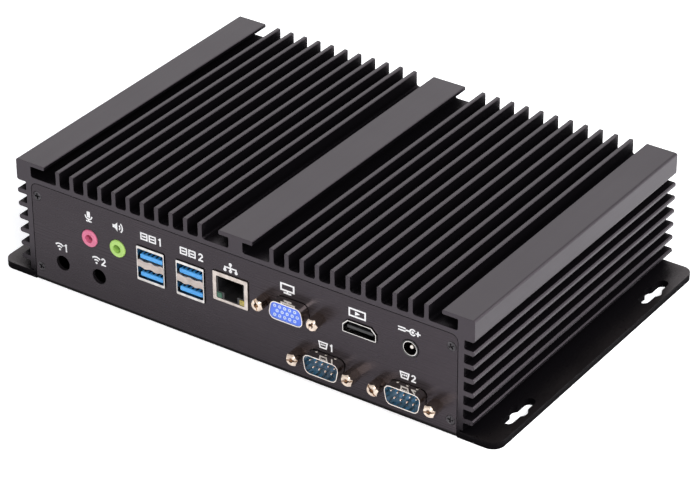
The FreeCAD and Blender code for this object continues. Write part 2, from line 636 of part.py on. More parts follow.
def data_port_shell(x, z):
    """Folded metal shell with two openings, open at the back."""
    y0, y1 = PORT_FACE, PORT_FACE + DATA_PORT_DEPTH
    shell = prism(rectangle(x, z, DATA_PORT_WIDTH, DATA_PORT_HEIGHT, PORT_WALL), y0, y1)
    inner = prism(rectangle(x, z, DATA_PORT_WIDTH - 2 * PORT_WALL, DATA_PORT_HEIGHT - 2 * PORT_WALL),
                  y0 + PORT_WALL, y1 + 1)
    mouths = [prism(rectangle(x, z + level, DATA_PORT_OPENING_WIDTH, DATA_PORT_OPENING_HEIGHT,
                              PORT_WALL), y0 - 1, y1)
              for level in data_port_levels()]
    return shell.cut([inner] + mouths)


def data_port_insulator(x, z):
    """Moulding that fills the back of the shell and carries the two tongues."""
    width = DATA_PORT_WIDTH - 2 * PORT_WALL - 2 * SEAT
    height = DATA_PORT_HEIGHT - 2 * PORT_WALL - 2 * SEAT
    back = PORT_FACE + DATA_PORT_DEPTH
    root = PORT_FACE + PORT_WALL + DATA_PORT_TONGUE_LENGTH
    body = prism(rectangle(x, z, width, height), root, back)
    tongues = [prism(rectangle(x, data_port_tongue_level(z + level), DATA_PORT_TONGUE_WIDTH,
                               DATA_PORT_TONGUE_THICKNESS, 0.2),
                     PORT_FACE + PORT_WALL + DATA_PORT_TONGUE_INSET, root) for level in data_port_levels()]
    return body.fuse(tongues)


def data_port_tongue_level(port_z):
    """Middle height of the tongue, which lies in the lower half of its opening."""
    return port_z - DATA_PORT_OPENING_HEIGHT / 2 + DATA_PORT_TONGUE_RISE + DATA_PORT_TONGUE_THICKNESS / 2


def data_port_divider(x, z):
    """Metal strip between the two openings, with a waved front edge."""
    height = DATA_PORT_PORT_PITCH - DATA_PORT_OPENING_HEIGHT
    y0 = PORT_FACE + PORT_WALL + SEAT
    y1 = PORT_FACE + PORT_WALL + DATA_PORT_TONGUE_LENGTH - SEAT
    width = DATA_PORT_OPENING_WIDTH
    strip = block(x - width / 2, x + width / 2, y0, y1, z - height / 2 + SEAT, z + height / 2 - SEAT)
    wave = height * 0.6
    cuts = [small_post(x + step, y0 - wave * 0.45, wave, z - height / 2, z + height / 2)
            for step in (-width / 3, 0, width / 3)]
    return strip.cut(cuts)


def data_port_contacts(x, z):
    """Five contact strips on each tongue."""
    strips = []
    for level in data_port_levels():
        top = data_port_tongue_level(z + level) + DATA_PORT_TONGUE_THICKNESS / 2
        for i in range(5):
            at = x + (i - 2) * DATA_PORT_CONTACT_PITCH
            y0 = PORT_FACE + PORT_WALL + DATA_PORT_CONTACT_INSET
            strips.append(block(at - DATA_PORT_CONTACT_WIDTH / 2, at + DATA_PORT_CONTACT_WIDTH / 2,
                                y0, y0 + DATA_PORT_CONTACT_LENGTH, top, top + DATA_PORT_CONTACT_THICKNESS))
    return strips


def rear_side(shapes):
    """Turn pieces modelled at the port side round to the rear side."""
    for shape in shapes:
        shape.rotate(V(0, 0, 0), V(0, 0, 1), 180)
    return shapes


# ---------------------------------------------------------------- audio sockets
def audio_jack(x):
    """Coloured 3.5 mm socket: round ring through the panel and a square body behind it."""
    z = TOP - AUDIO_DROP
    back = PANEL_BACK + AUDIO_BODY_LENGTH
    step = PORT_FACE + AUDIO_RING_EDGE
    ring = ring_rod(x, z, AUDIO_RING_RADIUS, step, PANEL_BACK + SEAT)
    ring = ring.fuse(ring_rod(x, z, AUDIO_RING_RADIUS - AUDIO_RING_EDGE, PORT_FACE, step,
                              AUDIO_RING_RADIUS))
    half = AUDIO_RING_RADIUS * 4 / 3
    body = block(x - half, x + half, PANEL_BACK + SEAT, back, z - half, BOARD_UNDER - SEAT)
    bore = rod(x, z, AUDIO_BORE_RADIUS, PORT_FACE - 1, back - 1.0)
    over = z + AUDIO_BORE_RADIUS
    side = AUDIO_SPRING_WIDTH / 2 + SEAT
    pockets = [block(x - side, x + side, y - SEAT, y + AUDIO_SPRING_LENGTH + SEAT,
                     over - side, over + AUDIO_SPRING_THICKNESS + 2 * SEAT) for y in audio_spring_places()]
    return ring.fuse(body).cut([bore] + pockets)


def audio_spring_places():
    """Start along Y of the two springs beside each bore."""
    first = PANEL_BACK + AUDIO_SPRING_LENGTH / 2
    return (first, first + AUDIO_SPRING_LENGTH * 1.4)


def audio_springs(x):
    """Two contact springs in pockets beside the bore."""
    low = TOP - AUDIO_DROP + AUDIO_BORE_RADIUS + SEAT
    half = AUDIO_SPRING_WIDTH / 2
    return [block(x - half, x + half, y, y + AUDIO_SPRING_LENGTH, low, low + AUDIO_SPRING_THICKNESS)
            for y in audio_spring_places()]


# ---------------------------------------------------------------- network socket
def lan_shell():
    """Folded metal shield with a wide front frame."""
    z = TOP - LAN_DROP
    y0, y1 = PORT_FACE, PORT_FACE + LAN_DEPTH
    shell = prism(rectangle(LAN_X, z, LAN_WIDTH, LAN_HEIGHT, PORT_WALL), y0, y1)
    half_w, half_h = LAN_WIDTH / 2 - PORT_WALL, LAN_HEIGHT / 2 - PORT_WALL
    inner = block(LAN_X - half_w, LAN_X + half_w, y0 + PORT_WALL, y1 + 1, z - half_h, z + half_h)
    window = prism(rectangle(LAN_X, z - LAN_WINDOW_DROP, LAN_WIDTH - 2 * LAN_FRAME_SIDE,
                             LAN_HEIGHT - 2 * LAN_FRAME_TOP, PORT_WALL), y0 - 1, y0 + 1)
    return shell.cut([inner, window])


def lan_cavity(grow, y0, y1):
    """Plug space: a rectangle with the latch channel below it."""
    z = lan_opening_z()
    width, height = LAN_OPENING_WIDTH + 2 * grow, LAN_OPENING_HEIGHT + 2 * grow
    plug = prism(rectangle(LAN_X, z, width, height), y0, y1)
    low = z - height / 2
    latch = block(LAN_X - LAN_LATCH_WIDTH / 2 - grow, LAN_X + LAN_LATCH_WIDTH / 2 + grow, y0, y1,
                  low - LAN_LATCH_HEIGHT, low + 0.5)
    return plug.fuse(latch)


def lan_opening_z():
    """Middle height of the plug space."""
    return TOP - LAN_DROP + LAN_OPENING_RISE


def lan_insert():
    """Black moulding inside the shield, with the plug space and two pockets for the lights."""
    z = TOP - LAN_DROP
    half_w = LAN_WIDTH / 2 - PORT_WALL - SEAT
    half_h = LAN_HEIGHT / 2 - PORT_WALL - SEAT
    y0 = PORT_FACE + PORT_WALL + SEAT
    body = block(LAN_X - half_w, LAN_X + half_w, y0, PORT_FACE + LAN_DEPTH, z - half_h, z + half_h)
    cuts = [lan_cavity(0, y0 - 1, PORT_FACE + LAN_CAVITY_DEPTH)]
    for x, low in lan_light_places():
        cuts.append(block(x - SEAT, x + LAN_LIGHT_SIZE + SEAT, y0 - 1, PORT_FACE + LAN_CAVITY_DEPTH,
                          low - SEAT, low + LAN_LIGHT_SIZE + SEAT))
    return body.cut(cuts)


def lan_light_places():
    """Left edge and lower edge of the two light pipes, beside the latch channel."""
    low = lan_opening_z() - LAN_OPENING_HEIGHT / 2 - LAN_LIGHT_SIZE - LAN_LIGHT_GAP
    half = LAN_WIDTH / 2 - LAN_LIGHT_INSET
    return [(LAN_X - half, low), (LAN_X + half - LAN_LIGHT_SIZE, low)]


def lan_light(i):
    """Light pipe that ends at the front of the socket."""
    x, low = lan_light_places()[i]
    y0 = PORT_FACE + 0.15
    return block(x, x + LAN_LIGHT_SIZE, y0, y0 + LAN_CAVITY_DEPTH - 1.5, low, low + LAN_LIGHT_SIZE)


def lan_contacts():
    """Eight sprung wires that slope down from the roof of the plug space."""
    wires = []
    z = lan_opening_z() + LAN_OPENING_HEIGHT / 2 - SEAT
    y0 = PORT_FACE + LAN_WIRE_START
    y1 = PORT_FACE + LAN_CAVITY_DEPTH - SEAT
    thick = LAN_WIRE_WIDTH
    for i in range(8):
        x = LAN_X + (i - 3.5) * LAN_WIRE_PITCH - LAN_WIRE_WIDTH / 2
        section = Part.makePolygon([V(x, y0, z), V(x, y0 + thick, z), V(x, y1, z - LAN_WIRE_DROP + thick),
                                    V(x, y1, z - LAN_WIRE_DROP), V(x, y0, z)])
        wires.append(Part.Face(section).extrude(V(LAN_WIRE_WIDTH, 0, 0)))
    return wires


# ---------------------------------------------------------------- D-shaped connectors
def dsub_cutter(x, z, width, height, wide_up, y0, y1):
    """Panel cut-out for a D-shaped shell."""
    gap = 2 * PORT_HOLE_GAP
    return prism(d_shape(x, z, width + gap, height + gap, DSUB_CORNER_RADIUS, wide_up), y0, y1)


def dsub_shell(x, z, width, height, wide_up):
    """Drawn shell with its flange behind the panel and a rolled rim in front."""
    flange_y = PANEL_BACK + SEAT
    rim = flange_y - DSUB_SHELL_LENGTH
    plate = prism(rectangle(x, z, DSUB_FLANGE_WIDTH, DSUB_FLANGE_HEIGHT, 1.5),
                  flange_y, flange_y + DSUB_FLANGE_THICKNESS)
    tube = prism(d_shape(x, z, width, height, DSUB_CORNER_RADIUS, wide_up), rim, flange_y)
    wall = 2 * DSUB_SHELL_WALL
    inner = prism(d_shape(x, z, width - wall, height - wall, DSUB_CORNER_RADIUS - DSUB_SHELL_WALL,
                          wide_up),
                  rim - 1, flange_y + DSUB_FLANGE_THICKNESS + 1)
    holes = [small_rod(x + side * DSUB_SCREW_SPACING / 2, z, BASE_SCREW_RADIUS + SCREW_FIT,
                       flange_y - 1, flange_y + 3)
             for side in (-1, 1)]
    return plate.fuse(tube).cut([inner] + holes).removeSplitter()


def dsub_body(x, z, width, height, wide_up, face_y):
    """Insulator: a D-shaped nose inside the shell and a block behind the flange."""
    flange_back = PANEL_BACK + SEAT + DSUB_FLANGE_THICKNESS
    wall = 2 * (DSUB_SHELL_WALL + SEAT)
    nose = prism(d_shape(x, z, width - wall, height - wall, DSUB_CORNER_RADIUS - DSUB_SHELL_WALL,
                         wide_up),
                 face_y, flange_back + SEAT)
    high = min(z + DSUB_FLANGE_HEIGHT / 2 - 0.6, BOARD_UNDER - SEAT)
    back = block(x - width / 2 - 1.0, x + width / 2 + 1.0, flange_back + SEAT,
                 flange_back + DSUB_BODY_DEPTH,
                 z - DSUB_FLANGE_HEIGHT / 2 + 0.6, high)
    return nose.fuse(back)


def serial_pin_places(x):
    """Nine pins: five in the wide row above, four below."""
    z = TOP - SERIAL_DROP
    upper = [(x + (i - 2) * SERIAL_PIN_PITCH, z + SERIAL_ROW_PITCH / 2) for i in range(5)]
    lower = [(x + (i - 1.5) * SERIAL_PIN_PITCH, z - SERIAL_ROW_PITCH / 2) for i in range(4)]
    return upper + lower


def serial_insulator(x):
    """Insulator of a nine-pin plug, set back in the shell."""
    face = PANEL_BACK - 0.4
    body = dsub_body(x, TOP - SERIAL_DROP, SERIAL_SHELL_WIDTH, SERIAL_SHELL_HEIGHT, True, face)
    return body.cut([small_rod(px, pz, SERIAL_PIN_RADIUS + SEAT, face - 1, SERIAL_PIN_END + SEAT)
                     for px, pz in serial_pin_places(x)])


def serial_pins(x):
    """Nine round-nosed pins."""
    pins = []
    tip = PANEL_BACK + SEAT - DSUB_SHELL_LENGTH + SERIAL_PIN_INSET
    for px, pz in serial_pin_places(x):
        nose = along_y(flat_sided(SERIAL_PIN_RADIUS / 2, SERIAL_PIN_RADIUS, SERIAL_PIN_RADIUS), px, pz,
                       tip)
        pins.append(nose.fuse(small_rod(px, pz, SERIAL_PIN_RADIUS, tip + SERIAL_PIN_RADIUS,
                                        SERIAL_PIN_END)))
    return pins


def video_insulator():
    """Insulator of the fifteen-way socket, with three rows of five holes."""
    z = TOP - VIDEO_DROP
    face = PANEL_BACK + SEAT - DSUB_SHELL_LENGTH + 0.3
    body = dsub_body(VIDEO_X, z, VIDEO_SHELL_WIDTH, VIDEO_SHELL_HEIGHT, False, face)
    holes = []
    for row in range(3):
        for i in range(5):
            shift = VIDEO_HOLE_PITCH / 4 * (1 if row == 1 else -1)
            holes.append(small_rod(VIDEO_X + (i - 2) * VIDEO_HOLE_PITCH + shift,
                                   z + (row - 1) * VIDEO_ROW_PITCH,
                                   VIDEO_HOLE_RADIUS, face - 1, face + VIDEO_HOLE_DEPTH))
    return body.cut(holes)


def jackscrew_places():
    """X and Z of the six jackscrews beside the three D-shaped connectors."""
    centres = [(VIDEO_X, TOP - VIDEO_DROP)] + [(x, TOP - SERIAL_DROP) for x in SERIAL_X]
    return [(x + side * DSUB_SCREW_SPACING / 2, z) for x, z in centres for side in (-1, 1)]


def hexagon(across, turn, y):
    """Corners of a hexagon in the XZ plane, by its width across flats."""
    corner = across / math.sqrt(3)
    angles = [math.radians(60 * i + turn) for i in range(6)]
    return [V(corner * math.cos(a), y, corner * math.sin(a)) for a in angles]


def jackscrew(x, z, turn):
    """Hexagonal spacer screw with a threaded bore, a slot across its face and a shank."""
    tip = FRONT - JACKSCREW_LENGTH
    bevel = JACKSCREW_HEX / 10
    crown = between(hexagon(JACKSCREW_HEX - 2 * bevel, turn, tip), hexagon(JACKSCREW_HEX, turn,
                                                                           tip + bevel))
    head = between(hexagon(JACKSCREW_HEX, turn, tip + bevel), hexagon(JACKSCREW_HEX, turn, FRONT - SEAT))
    head = head.fuse(crown)
    slot = block(-JACKSCREW_HEX, JACKSCREW_HEX, tip - 1, tip + JACKSCREW_SLOT_DEPTH,
                 -JACKSCREW_SLOT_WIDTH / 2, JACKSCREW_SLOT_WIDTH / 2)
    slot.rotate(V(0, 0, 0), V(0, 1, 0), JACKSCREW_SLOT_TURN)
    bore = rod(0, 0, JACKSCREW_BORE, tip - 1, tip + JACKSCREW_BORE_DEPTH)
    screw = head.fuse(small_rod(0, 0, BASE_SCREW_RADIUS, FRONT - SEAT, JACKSCREW_END)).cut([bore, slot])
    screw.translate(V(x, 0, z))
    return screw


def jackscrews():
    """All six jackscrews, each stopped at its own angle."""
    return [jackscrew(x, z, 11 * i) for i, (x, z) in enumerate(jackscrew_places())]


def serial_board():
    """Small upright circuit board that both serial connectors are soldered to."""
    x0 = SERIAL_X[0] - DSUB_FLANGE_WIDTH / 2
    x1 = SERIAL_X[1] + DSUB_FLANGE_WIDTH / 2 - SERIAL_BOARD_SIDE_CUT
    return block(x0, x1, SERIAL_BOARD_FRONT, SERIAL_BOARD_BACK, BASE_THICKNESS + SERIAL_BOARD_GAP,
                 TOP - SERIAL_DROP + SERIAL_BOARD_RISE)


def serial_ribbon():
    """Flat cable from the serial board to the main board, folded upright behind its plugs."""
    middle = (SERIAL_X[0] + SERIAL_X[1]) / 2
    y0 = SERIAL_BOARD_BACK + RIBBON_PLUG_HEIGHT
    y1 = y0 + RIBBON_REACH
    z0 = TOP - SERIAL_DROP
    z1 = BOARD_UNDER - RIBBON_PLUG_HEIGHT
    half = RIBBON_WIDTH / 2
    foot = block(middle - half, middle + half, y0, y1, z0 - RIBBON_THICKNESS, z0)
    riser = block(middle - half, middle + half, y1, y1 + RIBBON_THICKNESS, z0 - RIBBON_THICKNESS, z1)
    return foot.fuse(riser).removeSplitter()


def serial_headers():
    """Plugs at both ends of the flat cable."""
    middle = (SERIAL_X[0] + SERIAL_X[1]) / 2
    half = RIBBON_WIDTH / 2 + RIBBON_THICKNESS
    low = TOP - SERIAL_DROP
    lower = block(middle - half, middle + half, SERIAL_BOARD_BACK + SEAT,
                  SERIAL_BOARD_BACK + RIBBON_PLUG_HEIGHT - SEAT,
                  low - RIBBON_PLUG_DEPTH / 2, low + RIBBON_PLUG_DEPTH / 2)
    y = SERIAL_BOARD_BACK + RIBBON_PLUG_HEIGHT + RIBBON_REACH
    upper = block(middle - half, middle + half, y, y + RIBBON_PLUG_DEPTH,
                  BOARD_UNDER - RIBBON_PLUG_HEIGHT + SEAT, BOARD_UNDER - SEAT)
    return [lower, upper]


# ---------------------------------------------------------------- digital video and power sockets
def digital_video_corners(grow):
    """Opening with its two upper corners cut off."""
    z = TOP - DIGITAL_VIDEO_DROP
    a, b = DIGITAL_VIDEO_WIDTH / 2 + grow, DIGITAL_VIDEO_HEIGHT / 2 + grow
    c = DIGITAL_VIDEO_CHAMFER
    sides = [(-a, -b), (a, -b), (a, b - c), (a - c, b), (c - a, b), (-a, b - c)]
    return [(DIGITAL_VIDEO_X + x, z + up, PORT_WALL) for x, up in sides]


def digital_video_shell():
    """Folded metal shell."""
    y0, y1 = PORT_FACE, PORT_FACE + DIGITAL_VIDEO_DEPTH
    tube = prism(digital_video_corners(0), y0, y1)
    return tube.cut(prism(digital_video_corners(-PORT_WALL), y0 - 1, y1 + 1))


def digital_video_tongue():
    """Black insulator: a plug at the back of the shell with the contact tongue in front of it."""
    root = PORT_FACE + DIGITAL_VIDEO_DEPTH - DIGITAL_VIDEO_PLUG_DEPTH
    body = prism(digital_video_corners(-PORT_WALL - SEAT), root, PORT_FACE + DIGITAL_VIDEO_DEPTH)
    z = TOP - DIGITAL_VIDEO_DROP - PORT_WALL
    half_w, half_h = DIGITAL_VIDEO_TONGUE_WIDTH / 2, DIGITAL_VIDEO_TONGUE_HEIGHT / 2
    tongue = block(DIGITAL_VIDEO_X - half_w, DIGITAL_VIDEO_X + half_w,
                   PORT_FACE + 2 * DIGITAL_VIDEO_TONGUE_HEIGHT / 3,
                   root, z - half_h, z + half_h)
    return body.fuse(tongue)


def power_body():
    """Black power socket: round nose through the panel, square body behind it."""
    z = TOP - POWER_DROP
    back = PANEL_BACK + POWER_BODY_LENGTH
    nose = ring_rod(POWER_X, z, POWER_RING_RADIUS, FRONT - PORT_PROUD / 2, PANEL_BACK + SEAT)
    half = POWER_RING_RADIUS + 1.1
    body = block(POWER_X - half, POWER_X + half, PANEL_BACK + SEAT, back, z - half,
                 min(z + half, BOARD_UNDER - SEAT))
    return nose.fuse(body).cut(ring_rod(POWER_X, z, POWER_BORE_RADIUS + PORT_WALL, FRONT - 1,
                                        POWER_BORE_END))


def power_sleeve():
    """Bright sleeve that lines the bore."""
    z = TOP - POWER_DROP
    y0, y1 = FRONT - PORT_PROUD / 3, POWER_BORE_END - SEAT
    tube = ring_rod(POWER_X, z, POWER_BORE_RADIUS + PORT_WALL - SEAT / 2, y0, y1)
    return tube.cut(ring_rod(POWER_X, z, POWER_BORE_RADIUS, y0 - 1, y1 + 1))


def power_pin():
    """Centre pin."""
    z = TOP - POWER_DROP
    tip = FRONT + 1.0
    bevel = POWER_PIN_RADIUS / 2
    nose = along_y(flat_sided(POWER_PIN_RADIUS - bevel / 2, POWER_PIN_RADIUS, bevel), POWER_X, z, tip)
    return nose.fuse(small_rod(POWER_X, z, POWER_PIN_RADIUS, tip + bevel, POWER_BORE_END))


# ---------------------------------------------------------------- main board and what it carries
def board_holes():
    """X and Y of the four mounting holes."""
    x = BOARD_HALF - STANDOFF_INSET
    return [(side * x, y) for side in (-1, 1)
            for y in (BOARD_FRONT + STANDOFF_FRONT_INSET, BOARD_REAR - STANDOFF_INSET)]


def main_board():
    """Circuit board that hangs under the deck with its connectors on the lower face."""
    board = block(-BOARD_HALF, BOARD_HALF, BOARD_FRONT, BOARD_REAR, BOARD_UNDER, BOARD_TOP)
    return board.cut([small_post(x, y, BOARD_HOLE_RADIUS, BOARD_UNDER - 1, BOARD_TOP + 1) for x,
                      y in board_holes()])


def standoffs():
    """Hexagonal spacers between deck and board."""
    pieces = []
    for x, y in board_holes():
        corners = [V(x + STANDOFF_RADIUS * math.cos(math.radians(60 * i)),
                     y + STANDOFF_RADIUS * math.sin(math.radians(60 * i)), BOARD_TOP) for i in range(7)]
        spacer = Part.Face(Part.makePolygon(corners)).extrude(V(0, 0, DECK_UNDER - BOARD_TOP))
        pieces.append(spacer.cut(small_post(x, y, BOARD_SCREW_RADIUS + SCREW_FIT, BOARD_TOP - 1,
                                            DECK_UNDER - 1)))
    return pieces


def board_screws():
    """Pan-head screws up through the board into the spacers."""
    screws = []
    for x, y in board_holes():
        low = BOARD_UNDER - BOARD_SCREW_HEAD_HEIGHT
        step = low + BOARD_SCREW_HEAD_HEIGHT / 3
        head = small_post(x, y, BOARD_SCREW_HEAD_RADIUS, step, BOARD_UNDER)
        head = head.fuse(small_post(x, y, BOARD_SCREW_HEAD_RADIUS * 0.75, low, step,
                                    BOARD_SCREW_HEAD_RADIUS))
        shank = small_post(x, y, BOARD_SCREW_RADIUS, BOARD_UNDER, DECK_UNDER - 2 * BOARD_THICKNESS)
        screws.append(head.fuse(shank))
    return screws


def processor():
    """Processor package on the upper face of the board: thin substrate with the die on it."""
    a, w, d = PROCESSOR_SIZE / 2, DIE_WIDTH / 2, DIE_DEPTH / 2
    step = BOARD_TOP + PROCESSOR_THICKNESS - DIE_HEIGHT
    base = block(PROCESSOR_X - a, PROCESSOR_X + a, PROCESSOR_Y - a, PROCESSOR_Y + a, BOARD_TOP, step)
    die = block(PROCESSOR_X - w, PROCESSOR_X + w, PROCESSOR_Y - d, PROCESSOR_Y + d, step,
                step + DIE_HEIGHT)
    return base.fuse(die)


def thermal_pad():
    """Soft pad between the die and the heat block."""
    z = BOARD_TOP + PROCESSOR_THICKNESS
    w, d = DIE_WIDTH / 2 + PAD_MARGIN, DIE_DEPTH / 2 + PAD_MARGIN
    return block(PROCESSOR_X - w, PROCESSOR_X + w, PROCESSOR_Y - d, PROCESSOR_Y + d, z,
                 z + THERMAL_PAD_THICKNESS)


def heat_block_screw_places():
    """X and Y of the screws that hold the heat block to the deck."""
    a = HEAT_BLOCK_SIZE / 2 - 1.5 * BOARD_SCREW_HEAD_RADIUS
    return [(PROCESSOR_X + i * a, PROCESSOR_Y + j * a) for i in (-1, 1) for j in (-1, 1)]


def heat_block():
    """Aluminium block that carries the heat from the pad to the deck."""
    a = HEAT_BLOCK_SIZE / 2
    low = HEAT_BLOCK_UNDER
    body = block(PROCESSOR_X - a, PROCESSOR_X + a, PROCESSOR_Y - a, PROCESSOR_Y + a, low, DECK_UNDER)
    cuts = []
    for x, y in heat_block_screw_places():
        cuts.append(small_post(x, y, BOARD_SCREW_RADIUS + SCREW_FIT, low - 1, DECK_UNDER + 1))
        cuts.append(small_post(x, y, BOARD_SCREW_HEAD_RADIUS + 2 * SCREW_FIT, low - 1,
                               low + BOARD_SCREW_HEAD_HEIGHT))
    return body.cut(cuts)


def heat_block_screws():
    """Four screws up through the heat block, heads sunk in its lower face."""
    seat = HEAT_BLOCK_UNDER + BOARD_SCREW_HEAD_HEIGHT
    screws = []
    for x, y in heat_block_screw_places():
        head = small_post(x, y, BOARD_SCREW_HEAD_RADIUS, HEAT_BLOCK_UNDER + SEAT, seat)
        screws.append(head.fuse(small_post(x, y, BOARD_SCREW_RADIUS, seat, DECK_UNDER - SEAT)))
    return screws


def memory_socket():
    """Card-edge socket with two side arms."""
    x0, y0, z = MEMORY_X, MEMORY_Y, CARRIED_TOP
    arm = MEMORY_THICKNESS * 2
    x1 = x0 + MEMORY_LENGTH + 2 * arm
    root = MEMORY_SOCKET_HEIGHT
    low = z - root * 0.7
    bar = block(x0, x1, y0, y0 + root, z - root, z)
    slot = block(x0 + arm - SEAT, x1 - arm + SEAT, y0 + root / 2 - SEAT, y0 + root + 1,
                 low - SEAT, low + MEMORY_THICKNESS + SEAT)
    arms = [block(x, x + arm - SEAT, y0 + root, y0 + MEMORY_DEPTH, low, z) for x in (x0, x1 - arm + SEAT)]
    return bar.cut(slot).fuse(arms)


def memory_module():
    """Memory card lying under the board in its socket, with four chips on its lower face."""
    arm = MEMORY_THICKNESS * 2
    x0, y0 = MEMORY_X + arm, MEMORY_Y + MEMORY_SOCKET_HEIGHT / 2
    low = CARRIED_TOP - MEMORY_SOCKET_HEIGHT * 0.7
    card = block(x0, x0 + MEMORY_LENGTH, y0, y0 + MEMORY_DEPTH, low, low + MEMORY_THICKNESS)
    step, size = MEMORY_LENGTH / 4, MEMORY_LENGTH / 6
    chips = [block(x0 + step * i + size / 4, x0 + step * i + size * 1.25,
                   y0 + MEMORY_DEPTH / 3, y0 + MEMORY_DEPTH * 0.8, low - CHIP_HEIGHT, low) for i in range(4)]
    return card.fuse(chips)


def card_socket(x):
    """Low edge socket for a small plug-in card."""
    edge = CARD_THICKNESS
    deep = CARD_SOCKET_DEPTH
    bar = block(x, x + CARD_WIDTH + 2 * edge, CARD_Y, CARD_Y + deep, CARRIED_TOP - CARD_SOCKET_HEIGHT,
                CARRIED_TOP)
    return bar.cut(block(x + edge - SEAT, x + edge + CARD_WIDTH + SEAT, CARD_Y + deep / 2,
                         CARD_Y + deep + 1,
                         CARD_UNDER - SEAT, CARD_UNDER + CARD_THICKNESS + SEAT))


def card_fixings(x):
    """X and Y of the two nuts at the free end of a plug-in card."""
    y = CARD_Y + CARD_SOCKET_DEPTH / 2 + CARD_LENGTH - SPACER_RADIUS - SEAT
    left = x + CARD_THICKNESS
    return [(left + SPACER_RADIUS + 1.0, y), (left + CARD_WIDTH - SPACER_RADIUS - 1.0, y)]


def plug_in_card(x, chips):
    """Small plug-in card in its socket; chips are places as parts of its width and length."""
    left = x + CARD_THICKNESS
    near = CARD_Y + CARD_SOCKET_DEPTH / 2 + SEAT
    card = block(left, left + CARD_WIDTH, near, near + CARD_LENGTH, CARD_UNDER,
                 CARD_UNDER + CARD_THICKNESS)
    card = card.cut([small_post(px, py, SPACER_BORE, CARD_UNDER - 1, CARRIED_TOP) for px,
                     py in card_fixings(x)])
    return card.fuse([block(left + CARD_WIDTH * a, left + CARD_WIDTH * b, near + CARD_LENGTH * c,
                            near + CARD_LENGTH * d, CARD_UNDER - CARD_CHIP_HEIGHT, CARD_UNDER)
                      for a, b, c, d in chips])


def card_spacers():
    """Soldered nuts and screws that hold the free end of each plug-in card."""
    pieces = []
    over, under = CARD_UNDER + CARD_THICKNESS + SEAT, CARD_UNDER - SEAT
    for x, y in card_fixings(STORAGE_X) + card_fixings(WIRELESS_X):
        nut = small_post(x, y, SPACER_RADIUS, over, CARRIED_TOP)
        shank = small_post(x, y, SPACER_SHANK, under, over)
        head = small_post(x, y, SPACER_RADIUS, under - CARD_THICKNESS, under)
        pieces.append(nut.fuse([shank, head]))
    return pieces


def coin_cell_holder():
    """Round holder with a wall round most of the cell."""
    x, y, z = COIN_X, COIN_Y, CARRIED_TOP
    outer = COIN_RADIUS * 1.16
    floor = z - COIN_THICKNESS / 3
    low = z - COIN_THICKNESS * 1.1
    cup = small_post(x, y, outer, low, z, sides=ROUND_SIDES)
    cup = cup.cut(small_post(x, y, COIN_RADIUS + 6 * SEAT, low - 1, floor, sides=ROUND_SIDES))
    return cup.cut(block(x + COIN_RADIUS * 0.4, x + outer + 1, y - outer, y + outer, low - 1, floor))


def coin_cell():
    """Coin cell in the holder."""
    floor = CARRIED_TOP - COIN_THICKNESS / 3
    return small_post(COIN_X, COIN_Y, COIN_RADIUS, floor - COIN_THICKNESS, floor, sides=ROUND_SIDES)


def power_inductors():
    """Moulded coils of the voltage converters, near the power socket."""
    coils = []
    for i in range(4):
        x = COIL_X + COIL_PITCH * i
        coil = block(x, x + COIL_SIZE, COIL_Y, COIL_Y + COIL_SIZE, CARRIED_TOP - COIL_HEIGHT, CARRIED_TOP)
        upright = [e for e in coil.Edges if abs(e.tangentAt(e.FirstParameter).z) > 0.9]
        coils.append(coil.makeChamfer(COIL_SIZE / 8, upright))
    return coils


def capacitors():
    """Can capacitors of the converters, each on its square foot."""
    cans = []
    half = CAPACITOR_RADIUS * 1.06
    foot = CARRIED_TOP - CAPACITOR_HEIGHT / 9
    for i in range(5):
        x, y = CAPACITOR_X + CAPACITOR_PITCH * i, CAPACITOR_Y
        base = block(x - half, x + half, y - half, y + half, foot, CARRIED_TOP)
        cans.append(base.fuse(small_post(x, y, CAPACITOR_RADIUS, CARRIED_TOP - CAPACITOR_HEIGHT, foot)))
    return cans


def controller_chips():
    """Flat packages of the network, sound, display and input controllers."""
    chips = []
    for x, inset, size in CHIP_PLACES:
        y = BOARD_FRONT + inset
        chips.append(block(x, x + size, y, y + size, CARRIED_TOP - CHIP_HEIGHT, CARRIED_TOP))
    return chips


# ---------------------------------------------------------------- rear controls
def power_button():
    """Round push cap with a collar behind the panel."""
    z = TOP - BUTTON_DROP
    y_in = REAR_PANEL_FRONT - BUTTON_GUIDE_FIT
    face = REAR + BUTTON_PROUD
    cap = ring_rod(BUTTON_X, z, BUTTON_RADIUS, y_in, face - BUTTON_EDGE)
    edge = ring_rod(BUTTON_X, z, BUTTON_RADIUS, face - BUTTON_EDGE, face, BUTTON_RADIUS - BUTTON_EDGE)
    collar = ring_rod(BUTTON_X, z, BUTTON_RADIUS + BUTTON_COLLAR_EXTRA, y_in - BUTTON_COLLAR_THICKNESS,
                      y_in)
    return cap.fuse([edge, collar]).removeSplitter()


def button_switch():
    """Switch body on a small upright board, one travel behind the button's collar."""
    z = TOP - BUTTON_DROP
    half = SWITCH_SIZE / 2
    body = block(BUTTON_X - half, BUTTON_X + half, SWITCH_BACK, SWITCH_FRONT, z - half, z + half)
    return body.fuse(block(BUTTON_X - half * 1.3, LIGHT_X[1] + half, SWITCH_BACK - BOARD_THICKNESS,
                           SWITCH_BACK,
                           z - SWITCH_BOARD_HEIGHT / 2, z + SWITCH_BOARD_HEIGHT / 2))


